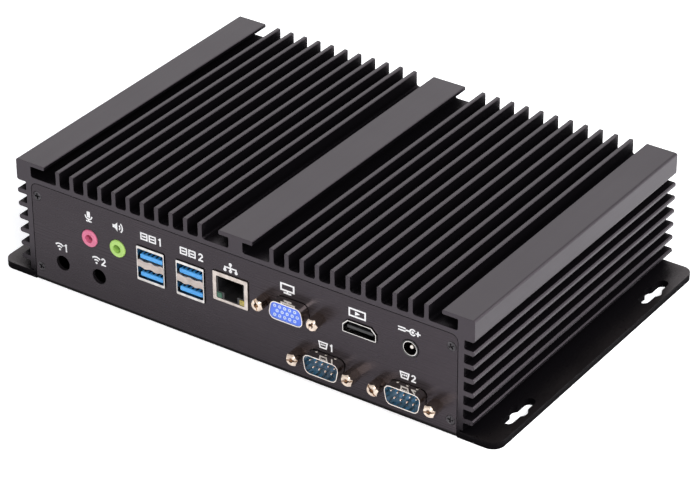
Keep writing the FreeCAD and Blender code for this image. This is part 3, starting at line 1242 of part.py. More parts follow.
def button_guide():
    """Sleeve round the button, between the small upright board and the rear panel."""
    z = TOP - BUTTON_DROP
    inner = BUTTON_RADIUS + BUTTON_COLLAR_EXTRA + GUIDE_GAP
    sleeve = ring_rod(BUTTON_X, z, inner + GUIDE_WALL, SWITCH_BACK + SEAT, REAR_PANEL_FRONT - SEAT)
    room = SWITCH_SIZE / 2 + SEAT
    return sleeve.cut([ring_rod(BUTTON_X, z, inner, SWITCH_FRONT, REAR),
                       block(BUTTON_X - room, BUTTON_X + room, SWITCH_BACK, SWITCH_FRONT + SEAT,
                             z - room, z + room)])


def indicator_lights():
    """Two round lights with their heads through the rear panel."""
    z = TOP - LIGHT_DROP
    lights = []
    for x in LIGHT_X:
        lamp = small_rod(x, z, LIGHT_RADIUS, SWITCH_BACK + SEAT, REAR)
        dome = along_y(flat_sided(LIGHT_RADIUS, LIGHT_RADIUS * 0.6, LIGHT_RADIUS / 3), x, z, REAR)
        collar = small_rod(x, z, LIGHT_RADIUS * 4 / 3, SWITCH_BACK + SEAT, REAR_PANEL_FRONT - 4 * SEAT)
        lights.append(lamp.fuse([dome, collar]))
    return lights


# ---------------------------------------------------------------- build
STORAGE_CHIPS = ((0.12, 0.52, 0.13, 0.43), (0.12, 0.52, 0.52, 0.78), (0.6, 0.9, 0.2, 0.4))
WIRELESS_CHIPS = ((0.2, 0.8, 0.17, 0.7),)


def build():
    """Write every sub-part."""
    os.makedirs("parts", exist_ok=True)
    data_port_z = TOP - DATA_PORT_DROP
    save("finned_housing", finned_housing())
    save("base_plate", base_plate())
    save("base_screws", base_screws())
    save("front_panel", front_panel())
    save("rear_panel", rear_panel())
    save("panel_screws", panel_screws())
    save("front_data_port_shells", [data_port_shell(x, data_port_z) for x in DATA_PORT_X])
    save("front_data_port_insulators", [data_port_insulator(x, data_port_z) for x in DATA_PORT_X])
    save("front_data_port_dividers", [data_port_divider(x, data_port_z) for x in DATA_PORT_X])
    save("front_data_port_contacts", [strip for x in DATA_PORT_X
                                      for strip in data_port_contacts(x, data_port_z)])
    save("rear_data_port_shell", rear_side([data_port_shell(-REAR_DATA_PORT_X, data_port_z)]))
    save("rear_data_port_insulator", rear_side([data_port_insulator(-REAR_DATA_PORT_X, data_port_z)]))
    save("rear_data_port_divider", rear_side([data_port_divider(-REAR_DATA_PORT_X, data_port_z)]))
    save("rear_data_port_contacts", rear_side(data_port_contacts(-REAR_DATA_PORT_X, data_port_z)))
    save("microphone_jack", audio_jack(AUDIO_X[0]))
    save("speaker_jack", audio_jack(AUDIO_X[1]))
    save("audio_springs", [spring for x in AUDIO_X for spring in audio_springs(x)])
    save("lan_shell", lan_shell())
    save("lan_insert", lan_insert())
    save("lan_light_green", lan_light(0))
    save("lan_light_yellow", lan_light(1))
    save("lan_contacts", lan_contacts())
    save("video_shell", dsub_shell(VIDEO_X, TOP - VIDEO_DROP, VIDEO_SHELL_WIDTH, VIDEO_SHELL_HEIGHT,
                                   False))
    save("video_insulator", video_insulator())
    save("serial_shells", [dsub_shell(x, TOP - SERIAL_DROP, SERIAL_SHELL_WIDTH, SERIAL_SHELL_HEIGHT, True)
                           for x in SERIAL_X])
    save("serial_insulators", [serial_insulator(x) for x in SERIAL_X])
    save("serial_pins", [pin for x in SERIAL_X for pin in serial_pins(x)])
    save("serial_board", serial_board())
    save("serial_ribbon", serial_ribbon())
    save("serial_headers", serial_headers())
    save("jackscrews", jackscrews())
    save("digital_video_shell", digital_video_shell())
    save("digital_video_tongue", digital_video_tongue())
    save("power_socket_body", power_body())
    save("power_socket_sleeve", power_sleeve())
    save("power_socket_pin", power_pin())
    save("main_board", main_board())
    save("board_standoffs", standoffs())
    save("board_screws", board_screws())
    save("processor", processor())
    save("thermal_pad", thermal_pad())
    save("heat_block", heat_block())
    save("heat_block_screws", heat_block_screws())
    save("memory_socket", memory_socket())
    save("memory_module", memory_module())
    save("storage_socket", card_socket(STORAGE_X))
    save("storage_card", plug_in_card(STORAGE_X, STORAGE_CHIPS))
    save("wireless_socket", card_socket(WIRELESS_X))
    save("wireless_card", plug_in_card(WIRELESS_X, WIRELESS_CHIPS))
    save("card_spacers", card_spacers())
    save("coin_cell_holder", coin_cell_holder())
    save("coin_cell", coin_cell())
    save("power_inductors", power_inductors())
    save("capacitors", capacitors())
    save("controller_chips", controller_chips())
    save("power_button", power_button())
    save("button_switch", button_switch())
    save("button_guide", button_guide())
    save("indicator_lights", indicator_lights())


build()
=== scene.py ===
import bpy
import bmesh
import math
from mathutils import Matrix, Vector


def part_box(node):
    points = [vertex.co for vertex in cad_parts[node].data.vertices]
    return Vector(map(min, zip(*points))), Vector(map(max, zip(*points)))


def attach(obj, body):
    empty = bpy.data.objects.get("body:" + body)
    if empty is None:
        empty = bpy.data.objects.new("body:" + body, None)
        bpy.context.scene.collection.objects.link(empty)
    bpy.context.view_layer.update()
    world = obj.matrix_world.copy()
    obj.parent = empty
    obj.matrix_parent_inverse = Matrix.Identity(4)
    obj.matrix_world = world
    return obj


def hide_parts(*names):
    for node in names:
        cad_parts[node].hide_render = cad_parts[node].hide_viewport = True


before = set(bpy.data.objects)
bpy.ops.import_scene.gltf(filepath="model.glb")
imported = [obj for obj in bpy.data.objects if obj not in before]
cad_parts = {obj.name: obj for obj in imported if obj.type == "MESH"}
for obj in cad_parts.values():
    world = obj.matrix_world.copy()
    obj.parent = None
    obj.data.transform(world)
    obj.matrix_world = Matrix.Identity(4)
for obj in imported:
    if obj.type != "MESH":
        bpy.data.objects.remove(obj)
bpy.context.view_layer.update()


# ------------------------------------------------------------------ camera, floor and light
# A long lens looks down on the port side from the front right, about 1.2 m away. The computer
# stands on a plain pale studio floor.
def in_scene(name, data):
    """An object of a mesh, a lens or a lamp, linked into the scene at the origin."""
    thing = bpy.data.objects.new(name, data)
    bpy.context.scene.collection.objects.link(thing)
    return thing


eye = Vector((0.59369, -0.86053, 0.64314))
to_right = Vector((0.82503, 0.56507, -0.00392))
to_top = Vector((-0.28835, 0.42695, 0.85707))
to_back = Vector((0.48598, -0.70598, 0.51518))
lens = bpy.data.cameras.new("studio_lens")
lens.lens = 157.99
lens.sensor_width = 36.0
lens.clip_end = 20.0
camera = in_scene("studio_camera", lens)
facing = Matrix((to_right, to_top, to_back)).transposed().to_4x4()
camera.matrix_world = Matrix.Translation(eye) @ facing
bpy.context.scene.camera = camera
bpy.context.scene.view_settings.view_transform = "Standard"


def material(name):
    """A new material, its node tree and its shader."""
    finish = bpy.data.materials.new(name)
    finish.use_nodes = True
    tree = finish.node_tree
    return finish, tree, tree.nodes["Principled BSDF"]


def wire(tree, kind, **inputs):
    """Add one node. Inputs go by name, or by number as i0, and its own settings start with set_."""
    node = tree.nodes.new(kind)
    for key, value in inputs.items():
        if key.startswith("set_"):
            setattr(node, key[4:], value)
    for key, value in inputs.items():
        if key.startswith("set_"):
            continue
        socket = node.inputs[int(key[1:])] if key[0] == "i" and key[1:].isdigit() else node.inputs[key]
        if isinstance(value, bpy.types.NodeSocket):
            tree.links.new(value, socket)
        else:
            socket.default_value = value
    return node


def grain(tree, scale, stretch=(1, 1, 1), detail=3.0):
    """Noise from 0 to 1 on object coordinates, with a scale for each direction."""
    place = wire(tree, "ShaderNodeTexCoord")
    lay = wire(tree, "ShaderNodeMapping", Vector=place.outputs["Object"], Scale=stretch)
    noise = wire(tree, "ShaderNodeTexNoise", Vector=lay.outputs["Vector"], Scale=scale, Detail=detail)
    return noise.outputs["Fac"]


def rough_up(tree, shader, height, depth, before=None):
    """Bump the shader's surface by a height from 0 to 1 times a depth in metres."""
    bump = wire(tree, "ShaderNodeBump", Height=height, Distance=depth, Strength=1.0)
    if before is not None:
        tree.links.new(before, bump.inputs["Normal"])
    tree.links.new(bump.outputs["Normal"], shader.inputs["Normal"])
    return bump.outputs["Normal"]


def seen_plainly(tree):
    """1 for rays from the camera, through clear pieces and off shiny ones, and 0 for the rest."""
    rays = wire(tree, "ShaderNodeLightPath").outputs
    straight = wire(tree, "ShaderNodeMath", i0=rays["Is Camera Ray"], i1=rays["Is Transmission Ray"],
                    set_operation="MAXIMUM")
    either = wire(tree, "ShaderNodeMath", i0=straight.outputs[0], i1=rays["Is Glossy Ray"],
                  set_operation="MAXIMUM")
    return either.outputs[0]


def show(tree, share, under, over, output="Material Output"):
    """End a tree in one shader, with another laid over it by a share from 0 to 1."""
    pick = wire(tree, "ShaderNodeMixShader", i0=share, i1=under.outputs[0], i2=over.outputs[0])
    tree.links.new(pick.outputs[0], tree.nodes[output].inputs["Surface"])


reach = 6.0
floor_mesh = bpy.data.meshes.new("studio_floor")
floor_mesh.from_pydata([(-reach, -reach, 0), (reach, -reach, 0), (reach, reach, 0), (-reach, reach, 0)],
                       [], [(0, 1, 2, 3)])
floor = in_scene("studio_floor", floor_mesh)
paper, tree, shader = material("pale_floor")
shader.inputs["Base Color"].default_value = (0.90, 0.90, 0.91, 1)
shader.inputs["Roughness"].default_value = 0.9
shader.inputs["Specular IOR Level"].default_value = 0.1
rough_up(tree, shader, grain(tree, 900.0), depth=0.00002)
glow = wire(tree, "ShaderNodeEmission", Color=(1, 1, 1, 1), Strength=0.50)
lifted = wire(tree, "ShaderNodeAddShader", i0=shader.outputs[0], i1=glow.outputs[0])
show(tree, seen_plainly(tree), shader, lifted)
floor_mesh.materials.append(paper)

world = bpy.data.worlds.new("studio")
world.use_nodes = True
bpy.context.scene.world = world
tree = world.node_tree
surround = tree.nodes["Background"]
surround.inputs["Color"].default_value = (0.93, 0.95, 1.0, 1)
surround.inputs["Strength"].default_value = 0.42
white = wire(tree, "ShaderNodeBackground", Color=(1, 1, 1, 1), Strength=1.0)
show(tree, seen_plainly(tree), surround, white, output="World Output")


def lamp(name, place, aim, size, power):
    """A square softbox at a place, turned towards a point."""
    light = bpy.data.lights.new(name, "AREA")
    light.shape = "SQUARE"
    light.size = size
    light.energy = power
    turn = (Vector(aim) - Vector(place)).to_track_quat("-Z", "Y")
    in_scene(name, light).matrix_world = Matrix.Translation(place) @ turn.to_matrix().to_4x4()


lamp("key_softbox", (0.9, -1.1, 1.3), aim=(0, 0, 0), size=0.9, power=20.0)
lamp("right_softbox", (1.0, 0.3, 0.8), aim=(0.16, 0.05, 0), size=0.7, power=20.0)
lamp("top_softbox", (-0.9, 1.3, 1.2), aim=(0, 0, 0.05), size=1.0, power=3.0)


# ------------------------------------------------------------------ finned housing
# One aluminium extrusion, sawn and milled at both ends, bead blasted and anodised black. Faint die lines
# run along the fins. A painted highlight makes the skin paler along the sharp edges, and painted shade
# leaves it matt black in the narrow gaps.
def remap(tree, source, start, end, low=0.0, high=1.0):
    """Turn a value from start to end into one from low to high."""
    node = wire(tree, "ShaderNodeMapRange", Value=source, **{
        "From Min": start, "From Max": end, "To Min": low, "To Max": high})
    return node.outputs["Result"]


def spread(tree, noise, low, high):
    """Turn the middle half of a noise, where nearly all of it lies, into a value from low to high."""
    return remap(tree, noise, 0.25, 0.75, low, high)


def tint(tree, source, dark, light):
    """Turn a noise into a colour between two colours."""
    ramp = wire(tree, "ShaderNodeValToRGB", Fac=source)
    ramp.color_ramp.elements[0].position = 0.3
    ramp.color_ramp.elements[0].color = (*dark, 1)
    ramp.color_ramp.elements[1].position = 0.7
    ramp.color_ramp.elements[1].color = (*light, 1)
    return ramp.outputs["Color"]


def paint_gap_shade(tree, shader):
    """Painted shade: turn the skin matt black where ambient occlusion finds narrow gaps."""
    # Painted shade: a near-black matt shader laid over the skin in occluded gaps.
    gap_shade = wire(tree, "ShaderNodeBsdfPrincipled", Roughness=0.9, **{
        "Base Color": (0.0012, 0.0009, 0.0014, 1), "Specular IOR Level": 0.03})
    gap_reach, deep, open_face = 0.03, 0.60, 0.78
    openness = wire(tree, "ShaderNodeAmbientOcclusion", Distance=gap_reach, set_samples=8)
    show(tree, remap(tree, openness.outputs["AO"], deep, open_face), gap_shade, shader)


def edges(tree, radius, flat, turned, most=1.0):
    """A normal rounded at sharp edges, and a share that rises to most as it turns from the face."""
    rounded = wire(tree, "ShaderNodeBevel", Radius=radius, set_samples=4).outputs[0]
    face = wire(tree, "ShaderNodeNewGeometry").outputs["Normal"]
    along = wire(tree, "ShaderNodeVectorMath", i0=rounded, i1=face, set_operation="DOT_PRODUCT")
    return rounded, remap(tree, along.outputs["Value"], flat, turned, high=most)


def laid_over(tree, share, under, over):
    """A colour laid over another by a share from 0 to 1."""
    return wire(tree, "ShaderNodeMix", set_data_type="RGBA", Factor=share, i6=under, i7=over).outputs[2]


def anodised(name, dark, light, roughness, lines, sheen):
    """Black anodised aluminium; lines is the scale of its marks along each direction."""
    finish, tree, shader = material(name)
    streak = grain(tree, 1.0, lines, detail=4.0)
    cloud = grain(tree, 38.0, detail=5.0)
    both = wire(tree, "ShaderNodeMath", i0=streak, i1=cloud, set_operation="ADD")
    half = wire(tree, "ShaderNodeMath", i0=both.outputs[0], i1=0.5, set_operation="MULTIPLY").outputs[0]
    # Painted highlight: the base colour turns paler where the bevelled normal turns away from the face at
    # sharp edges.
    rounded, edge_highlight = edges(tree, 0.0003, flat=0.99, turned=0.85, most=0.6)
    paler = 2.6
    base = laid_over(tree, edge_highlight, tint(tree, half, dark, light), (*[paler * v for v in light], 1))
    tree.links.new(base, shader.inputs["Base Color"])
    tree.links.new(spread(tree, half, roughness - 0.05, roughness + 0.05), shader.inputs["Roughness"])
    shader.inputs["Specular Tint"].default_value = (*sheen, 1)
    shader.inputs["Specular IOR Level"].default_value = 0.46
    normal = rough_up(tree, shader, streak, depth=0.000008, before=rounded)
    rough_up(tree, shader, grain(tree, 2600.0, detail=2.0), depth=0.000005, before=normal)
    # Painted shade: the housing goes matt black in the narrow gaps between fins.
    paint_gap_shade(tree, shader)
    return finish


def finish_node(finish, *nodes):
    """Give solids of the frame their finish."""
    for node in nodes:
        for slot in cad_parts[node].material_slots:
            slot.material = finish


finish_node(anodised("anodised_housing", (0.0035, 0.0028, 0.0038), (0.0080, 0.0070, 0.0082),
                     roughness=0.38, lines=(900, 12, 900), sheen=(1.0, 0.84, 0.97)), "finned_housing")


# ------------------------------------------------------------------ base plate
# Pressed steel plate with rounded corners and keyhole slots, powder coated black, so its top and
# edge show a fine orange-peel texture. Six countersunk screws hold it to the foot rails.
coat, tree, shader = material("powder_coat")
peel = grain(tree, 620.0, detail=2.0)
dust = grain(tree, 45.0, detail=5.0)
tree.links.new(tint(tree, dust, (0.0050, 0.0042, 0.0042), (0.0100, 0.0085, 0.0085)),
               shader.inputs["Base Color"])
tree.links.new(spread(tree, peel, 0.26, 0.38), shader.inputs["Roughness"])
shader.inputs["Specular Tint"].default_value = (1.0, 0.84, 0.92, 1)
shader.inputs["Specular IOR Level"].default_value = 0.34
rough_up(tree, shader, peel, depth=0.000025)
# Painted shade: the plate goes matt black in narrow gaps.
paint_gap_shade(tree, shader)
finish_node(coat, "base_plate")


# ------------------------------------------------------------------ countersunk screws
# Eight hold the two panels and six hold the base plate. Each is turned steel with a cross recess
# and a black oxide skin, its head flush in its countersink.
def node_tree_for(name, **sizes):
    """A node tree that turns places into pieces, with its sizes and finish as named inputs."""
    tree = bpy.data.node_groups.new(name, "GeometryNodeTree")
    tree.interface.new_socket("Places", in_out="INPUT", socket_type="NodeSocketGeometry")
    for label, size in sizes.items():
        socket = tree.interface.new_socket(label, in_out="INPUT", socket_type="NodeSocketFloat")
        socket.default_value = size
    tree.interface.new_socket("finish", in_out="INPUT", socket_type="NodeSocketMaterial")
    tree.interface.new_socket("Pieces", in_out="OUTPUT", socket_type="NodeSocketGeometry")
    return tree, tree.nodes.new("NodeGroupInput").outputs, tree.nodes.new("NodeGroupOutput")


def worked_out(tree, a, b, operation="ADD"):
    """One number worked out from two."""
    return wire(tree, "ShaderNodeMath", i0=a, i1=b, set_operation=operation).outputs[0]


def moved(tree, shape, z):
    """A shape moved along its own axis."""
    place = wire(tree, "ShaderNodeCombineXYZ", Z=z)
    return wire(tree, "GeometryNodeTransform", Geometry=shape, Translation=place.outputs[0]).outputs[0]


def brick(tree, x, y, z):
    """A block about the origin."""
    size = wire(tree, "ShaderNodeCombineXYZ", X=x, Y=y, Z=z)
    return wire(tree, "GeometryNodeMeshCube", Size=size.outputs[0]).outputs["Mesh"]


def cut_away(tree, body, *tools):
    """A shape with others taken out of it."""
    cut = wire(tree, "GeometryNodeMeshBoolean", set_operation="DIFFERENCE", set_solver="EXACT")
    tree.links.new(body, cut.inputs["Mesh 1"])
    for tool in tools:
        tree.links.new(tool, cut.inputs["Mesh 2"])
    return cut.outputs["Mesh"]


def set_out(tree, places, shape, turn, finish, group_out):
    """Put the shape at every place, facing the way stored there and turned about it by chance."""
    facing = wire(tree, "GeometryNodeInputNamedAttribute", set_data_type="FLOAT_VECTOR", Name="facing")
    chance = wire(tree, "FunctionNodeRandomValue", set_data_type="FLOAT", Max=turn, Seed=7)
    about = wire(tree, "ShaderNodeCombineXYZ", Z=chance.outputs["Value"])
    start = wire(tree, "FunctionNodeEulerToRotation", Euler=about.outputs[0])
    aim = wire(tree, "FunctionNodeAlignRotationToVector", Rotation=start.outputs[0],
               Vector=facing.outputs["Attribute"], set_axis="Z")
    each = wire(tree, "GeometryNodeInstanceOnPoints", Points=places, Instance=shape,
                Rotation=aim.outputs[0])
    whole = wire(tree, "GeometryNodeRealizeInstances", Geometry=each.outputs[0])
    dressed = wire(tree, "GeometryNodeSetMaterial", Geometry=whole.outputs[0], Material=finish)
    tree.links.new(dressed.outputs[0], group_out.inputs["Pieces"])


def grown(name, tree, places, finish, body="chassis", **sizes):
    """Run a tree on (place, facing) pairs and keep the result as one plain mesh on a body."""
    seeds = bpy.data.meshes.new(name + "_places")
    seeds.from_pydata([place for place, facing in places], [], [])
    stored = seeds.attributes.new("facing", "FLOAT_VECTOR", "POINT")
    stored.data.foreach_set("vector", [value for place, facing in places for value in facing])
    piece = in_scene(name, seeds)
    growth = piece.modifiers.new("growth", "NODES")
    growth.node_group = tree
    for socket in tree.interface.items_tree:
        if socket.in_out == "INPUT" and socket.name in sizes:
            growth[socket.identifier] = sizes[socket.name]
        elif socket.in_out == "INPUT" and socket.name == "finish":
            growth[socket.identifier] = finish
    bpy.context.view_layer.update()
    settled = piece.evaluated_get(bpy.context.evaluated_depsgraph_get())
    mesh = bpy.data.meshes.new_from_object(settled)
    piece.modifiers.remove(growth)
    piece.data = mesh
    mesh.name = name
    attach(piece, body)
    return piece


def plated(name, dark, light, roughness, stretch, depth=0.000008):
    """Plated sheet or turned metal; stretch is the scale of its tool lines along each direction."""
    finish, tree, shader = material(name)
    line = grain(tree, 1.0, stretch)
    stain = grain(tree, 350.0, detail=4.0)
    tree.links.new(tint(tree, stain, dark, light), shader.inputs["Base Color"])
    tree.links.new(spread(tree, line, roughness * 0.8, roughness * 1.25), shader.inputs["Roughness"])
    shader.inputs["Metallic"].default_value = 1.0
    rough_up(tree, shader, line, depth)
    return finish


screw_tree, given, group_out = node_tree_for("countersunk_screw", head_radius=0.002, head_height=0.001,
                                             shank_radius=0.00125, length=0.007)
neck = worked_out(screw_tree, given["head_height"], -1.0, "MULTIPLY")
head = wire(screw_tree, "GeometryNodeMeshCone", Vertices=40, **{"Radius Top": given["head_radius"],
            "Radius Bottom": given["shank_radius"], "Depth": given["head_height"]})
shank_length = worked_out(screw_tree, given["length"], given["head_height"], "SUBTRACT")
shank = wire(screw_tree, "GeometryNodeMeshCylinder", Vertices=20, Radius=given["shank_radius"],
             Depth=shank_length)
half_shank = worked_out(screw_tree, shank_length, 0.5, "MULTIPLY")
shank_middle = worked_out(screw_tree, neck, half_shank, "SUBTRACT")
# Two crossed bricks, sized by the head and with their upper halves above it, make the recess.
arm_share, width_share, depth_share = 1.30, 0.34, 1.30
arm = worked_out(screw_tree, given["head_radius"], arm_share, "MULTIPLY")
wide = worked_out(screw_tree, given["head_radius"], width_share, "MULTIPLY")
deep = worked_out(screw_tree, given["head_height"], depth_share, "MULTIPLY")
head = cut_away(screw_tree, moved(screw_tree, head.outputs["Mesh"], neck),
                brick(screw_tree, arm, wide, deep), brick(screw_tree, wide, arm, deep))
screw = wire(screw_tree, "GeometryNodeJoinGeometry", Geometry=head)
screw_tree.links.new(moved(screw_tree, shank.outputs["Mesh"], shank_middle), screw.inputs["Geometry"])
most_turn = 1.5      # radians that chance may turn a screw by
set_out(screw_tree, given["Places"], screw.outputs[0], most_turn, given["finish"], group_out)

oxide = plated("black_oxide", (0.022, 0.020, 0.022), (0.070, 0.066, 0.070), 0.22, (2200, 2200, 2200))
low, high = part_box("panel_screws")
rim, ease = 0.00205, 0.95      # radius of the countersink, and the head's share of it
panel_places = []
for side in (-1, 1):
    for z in (low[2] + rim, high[2] - rim):
        panel_places.append(((side * (high[0] - rim), low[1], z), (0, -1, 0)))
        panel_places.append(((side * (high[0] - rim), high[1], z), (0, 1, 0)))
screws = grown("panel_fixing_screws", screw_tree, panel_places, oxide, head_radius=rim * ease,
               head_height=0.0009, shank_radius=0.00125, length=0.0065)
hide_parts("panel_screws")
low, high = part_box("base_screws")
rim, ease = 0.0028, 0.96
base_places = [((side * (high[0] - rim), y, low[2]), (0, 0, -1)) for side in (-1, 1)
               for y in (low[1] + rim, 0.0, high[1] - rim)]
screws = grown("base_fixing_screws", screw_tree, base_places, oxide, head_radius=rim * ease,
               head_height=0.0014, shank_radius=0.0015, length=0.0072)
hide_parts("base_screws")


# ------------------------------------------------------------------ port panel and rear panel
# Milled aluminium sheet, lightly brushed from side to side before anodising, so the reflections of the
# sockets stretch across the brush lines. The panel is darker and duller along its lowest 1.4 mm.
panel_skin, tree, shader = material("brushed_anodised_panel")
brush = grain(tree, 1.0, (30, 900, 3400))
cloud = grain(tree, 30.0, (1, 1, 2), detail=4.0)
tree.links.new(tint(tree, cloud, (0.0100, 0.0085, 0.0098), (0.0150, 0.0130, 0.0145)),
               shader.inputs["Base Color"])
tree.links.new(spread(tree, brush, 0.24, 0.32), shader.inputs["Roughness"])
shader.inputs["Specular Tint"].default_value = (1.0, 0.80, 0.94, 1)
shader.inputs["Specular IOR Level"].default_value = 0.30
shader.inputs["Anisotropic"].default_value = 0.8
rough_up(tree, shader, brush, depth=0.000004)
side_to_side = wire(tree, "ShaderNodeCombineXYZ", X=1.0, Y=0.0, Z=0.0)
tree.links.new(side_to_side.outputs[0], shader.inputs["Tangent"])
# A dark, dull shader that takes over below 1.4 mm to 1.8 mm up the panel.
dark_bottom_band = wire(tree, "ShaderNodeBsdfPrincipled", Roughness=0.7, **{
    "Base Color": (0.0025, 0.0018, 0.0022, 1), "Specular IOR Level": 0.10})
place = wire(tree, "ShaderNodeTexCoord")
rise = wire(tree, "ShaderNodeSeparateXYZ", Vector=place.outputs["Object"])
band_top, face_start = 0.0014, 0.0018
show(tree, remap(tree, rise.outputs["Z"], band_top, face_start), dark_bottom_band, shader)
finish_node(panel_skin, "front_panel", "rear_panel")


# ------------------------------------------------------------------ printed marks
# Plain white pictograms screen printed above the sockets: a microphone, a loudspeaker, aerials,
# boxes, links, screens, numbers and a power mark. The ink stands 0.03 mm proud of the panel.
ink_height, ink_depth = 0.00003, 0.00005
panel_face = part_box("front_panel")[0][1]
ink_face, ink_back = panel_face - ink_height, panel_face + ink_depth


def printed(shapes, middle_x, middle_z, size):
    """Strokes and filled outlines in units of the mark's size, as thin prisms on the panel."""
    dot_sides, arc_steps, layer_step = 16, 14, 0.0000015
    net = bmesh.new()
    for layer, (kind, *points) in enumerate(shapes):
        front = ink_face - layer * layer_step
        if kind == "dot":
            (x, z, r), = points
            turns = [math.tau * i / dot_sides for i in range(dot_sides)]
            points = [(x + r * math.cos(a), z + r * math.sin(a)) for a in turns]
        if kind == "arc":
            (x, z, r, start, end, width), = points
            turns = [math.radians(start + (end - start) * i / arc_steps) for i in range(arc_steps + 1)]
            outer, inner = [[(x + edge * math.cos(a), z + edge * math.sin(a)) for a in turns]
                            for edge in (r + width / 2, r - width / 2)]
            pieces = [[outer[i], outer[i + 1], inner[i + 1], inner[i]] for i in range(arc_steps)]
        elif kind == "line":
            (x0, z0), (x1, z1), width = points
            along = Vector((x1 - x0, z1 - z0)).normalized() * width / 2
            across = Vector((-along.y, along.x))
            ends = (Vector((x0, z0)) - along, Vector((x1, z1)) + along)
            pieces = [[tuple(ends[0] - across), tuple(ends[1] - across), tuple(ends[1] + across),
                       tuple(ends[0] + across)]]
        else:
            pieces = [points]
        for corners in pieces:
            rings = []
            for y in (front, ink_back):
                rings.append([net.verts.new((middle_x + x * size, y, middle_z + z * size))
                              for x, z in corners])
            net.faces.new(rings[0])
            net.faces.new(rings[1][::-1])
            for i in range(len(corners)):
                j = (i + 1) % len(corners)
                net.faces.new((rings[0][i], rings[1][i], rings[1][j], rings[0][j]))
    return net


def closed(name, net, finish):
    """A piece from a net, with its faces turned outwards."""
    bmesh.ops.recalc_face_normals(net, faces=net.faces)
    mesh = bpy.data.meshes.new(name)
    net.to_mesh(mesh)
    net.free()
    mesh.materials.append(finish)
    return in_scene(name, mesh)


def beside(shapes, step):
    """The same strokes, further along the panel."""
    return [(kind, *[(p[0] + step, *p[1:]) if isinstance(p, tuple) else p for p in points])
            for kind, *points in shapes]


def middle(node):
    """The middle of a node from side to side."""
    low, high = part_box(node)
    return (low[0] + high[0]) / 2


def two_middles(node, half_width):
    """The middles of the left and the right one of two like pieces in one node."""
    low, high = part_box(node)
    return low[0] + half_width, high[0] - half_width


ink, tree, shader = material("white_ink")
fleck = grain(tree, 3000.0, detail=2.0)
tree.links.new(tint(tree, fleck, (0.80, 0.79, 0.79), (0.92, 0.91, 0.91)), shader.inputs["Base Color"])
tree.links.new(spread(tree, fleck, 0.5, 0.7), shader.inputs["Roughness"])

bold, fine, blob = 0.22, 0.17, 0.26      # widths of two strokes and radius of an end dot
one = [("line", (0.0, -0.5), (0.0, 0.5), bold), ("line", (-0.18, 0.34), (0.0, 0.5), bold)]
two = [("arc", (0, 0.22, 0.26, 180, -20, bold)), ("line", (0.24, 0.10), (-0.26, -0.5), bold),
       ("line", (-0.26, -0.5), (0.3, -0.5), bold)]
aerial = [("dot", (0, -0.5, 0.17)), ("arc", (0, -0.5, 0.48, 45, 135, bold)),
          ("arc", (0, -0.5, 0.92, 45, 135, bold))]
microphone = [("dot", (0, 0.42, 0.22)), ("line", (0, 0.42), (0, 0.1), 0.44), ("dot", (0, 0.1, 0.22)),
              ("arc", (0, 0.12, 0.46, 180, 360, fine)), ("line", (0, -0.3), (0, -0.55), fine),
              ("line", (-0.3, -0.6), (0.3, -0.6), fine)]
loudspeaker = [("fill", (-0.55, -0.2), (-0.25, -0.2), (0.1, -0.55), (0.1, 0.55), (-0.25, 0.2),
                (-0.55, 0.2)),
               ("arc", (0.1, 0, 0.34, -50, 50, fine)), ("arc", (0.1, 0, 0.68, -50, 50, fine))]
stack = [("line", (-0.9, 0.45), (0.1, 0.45), bold), ("line", (-0.9, -0.45), (0.1, -0.45), bold),
         ("line", (-0.9, 0.45), (-0.9, -0.45), bold), ("line", (0.1, 0.45), (0.1, -0.45), bold),
         ("line", (-0.62, 0.0), (-0.18, 0.0), bold)]
network = [("line", (0, 0.5), (0, -0.5), bold), ("line", (-0.9, -0.05), (0.9, -0.05), bold),
           ("line", (-0.9, -0.05), (-0.9, -0.5), bold), ("line", (0.9, -0.05), (0.9, -0.5), bold),
           ("dot", (0, 0.5, blob)), ("dot", (-0.9, -0.5, blob)), ("dot", (0.9, -0.5, blob)),
           ("dot", (0, -0.5, blob))]
screen = [("line", (-0.85, 0.5), (0.85, 0.5), bold), ("line", (-0.85, -0.3), (0.85, -0.3), bold),
          ("line", (-0.85, 0.5), (-0.85, -0.3), bold), ("line", (0.85, 0.5), (0.85, -0.3), bold),
          ("line", (-0.4, -0.62), (0.4, -0.62), bold), ("line", (0, -0.3), (0, -0.6), bold)]
film = [("line", (-1.1, 0.5), (1.1, 0.5), bold), ("line", (-1.1, -0.45), (1.1, -0.45), bold),
        ("line", (-1.1, 0.5), (-1.1, -0.45), bold), ("line", (1.1, 0.5), (1.1, -0.45), bold),
        ("fill", (-0.3, -0.25), (0.4, 0.03), (-0.3, 0.3))]
plug = [("line", (-1.4, 0.45), (0.0, 0.45), bold), ("line", (-1.2, -0.45), (-0.2, -0.45), bold),
        ("line", (-1.4, 0.45), (-1.2, -0.45), bold), ("line", (0.0, 0.45), (-0.2, -0.45), bold),
        ("dot", (-1.0, 0.05, 0.13)), ("dot", (-0.7, 0.05, 0.13)), ("dot", (-0.4, 0.05, 0.13))]
power = [("line", (-1.5, 0.22), (-0.5, 0.22), bold), ("line", (-1.5, -0.22), (-1.27, -0.22), bold),
         ("line", (-1.11, -0.22), (-0.88, -0.22), bold), ("line", (-0.72, -0.22), (-0.5, -0.22), bold),
         ("arc", (0.75, 0, 0.45, 35, 325, bold)), ("dot", (0.75, 0, 0.2)),
         ("line", (-0.3, 0), (0.2, 0), bold),
         ("line", (1.3, 0), (1.9, 0), bold), ("line", (1.6, -0.3), (1.6, 0.3), bold)]
boxes = beside(stack, -0.65) + beside(stack, 0.75)
aerial_left, aerial_right = -0.0864, -0.0680
data_left, data_right = two_middles("front_data_port_shells", 0.0066)
serial_left, serial_right = two_middles("serial_shells", 0.0154)
upper_row, serial_row, aerial_row = 0.0378, 0.0186, 0.0192
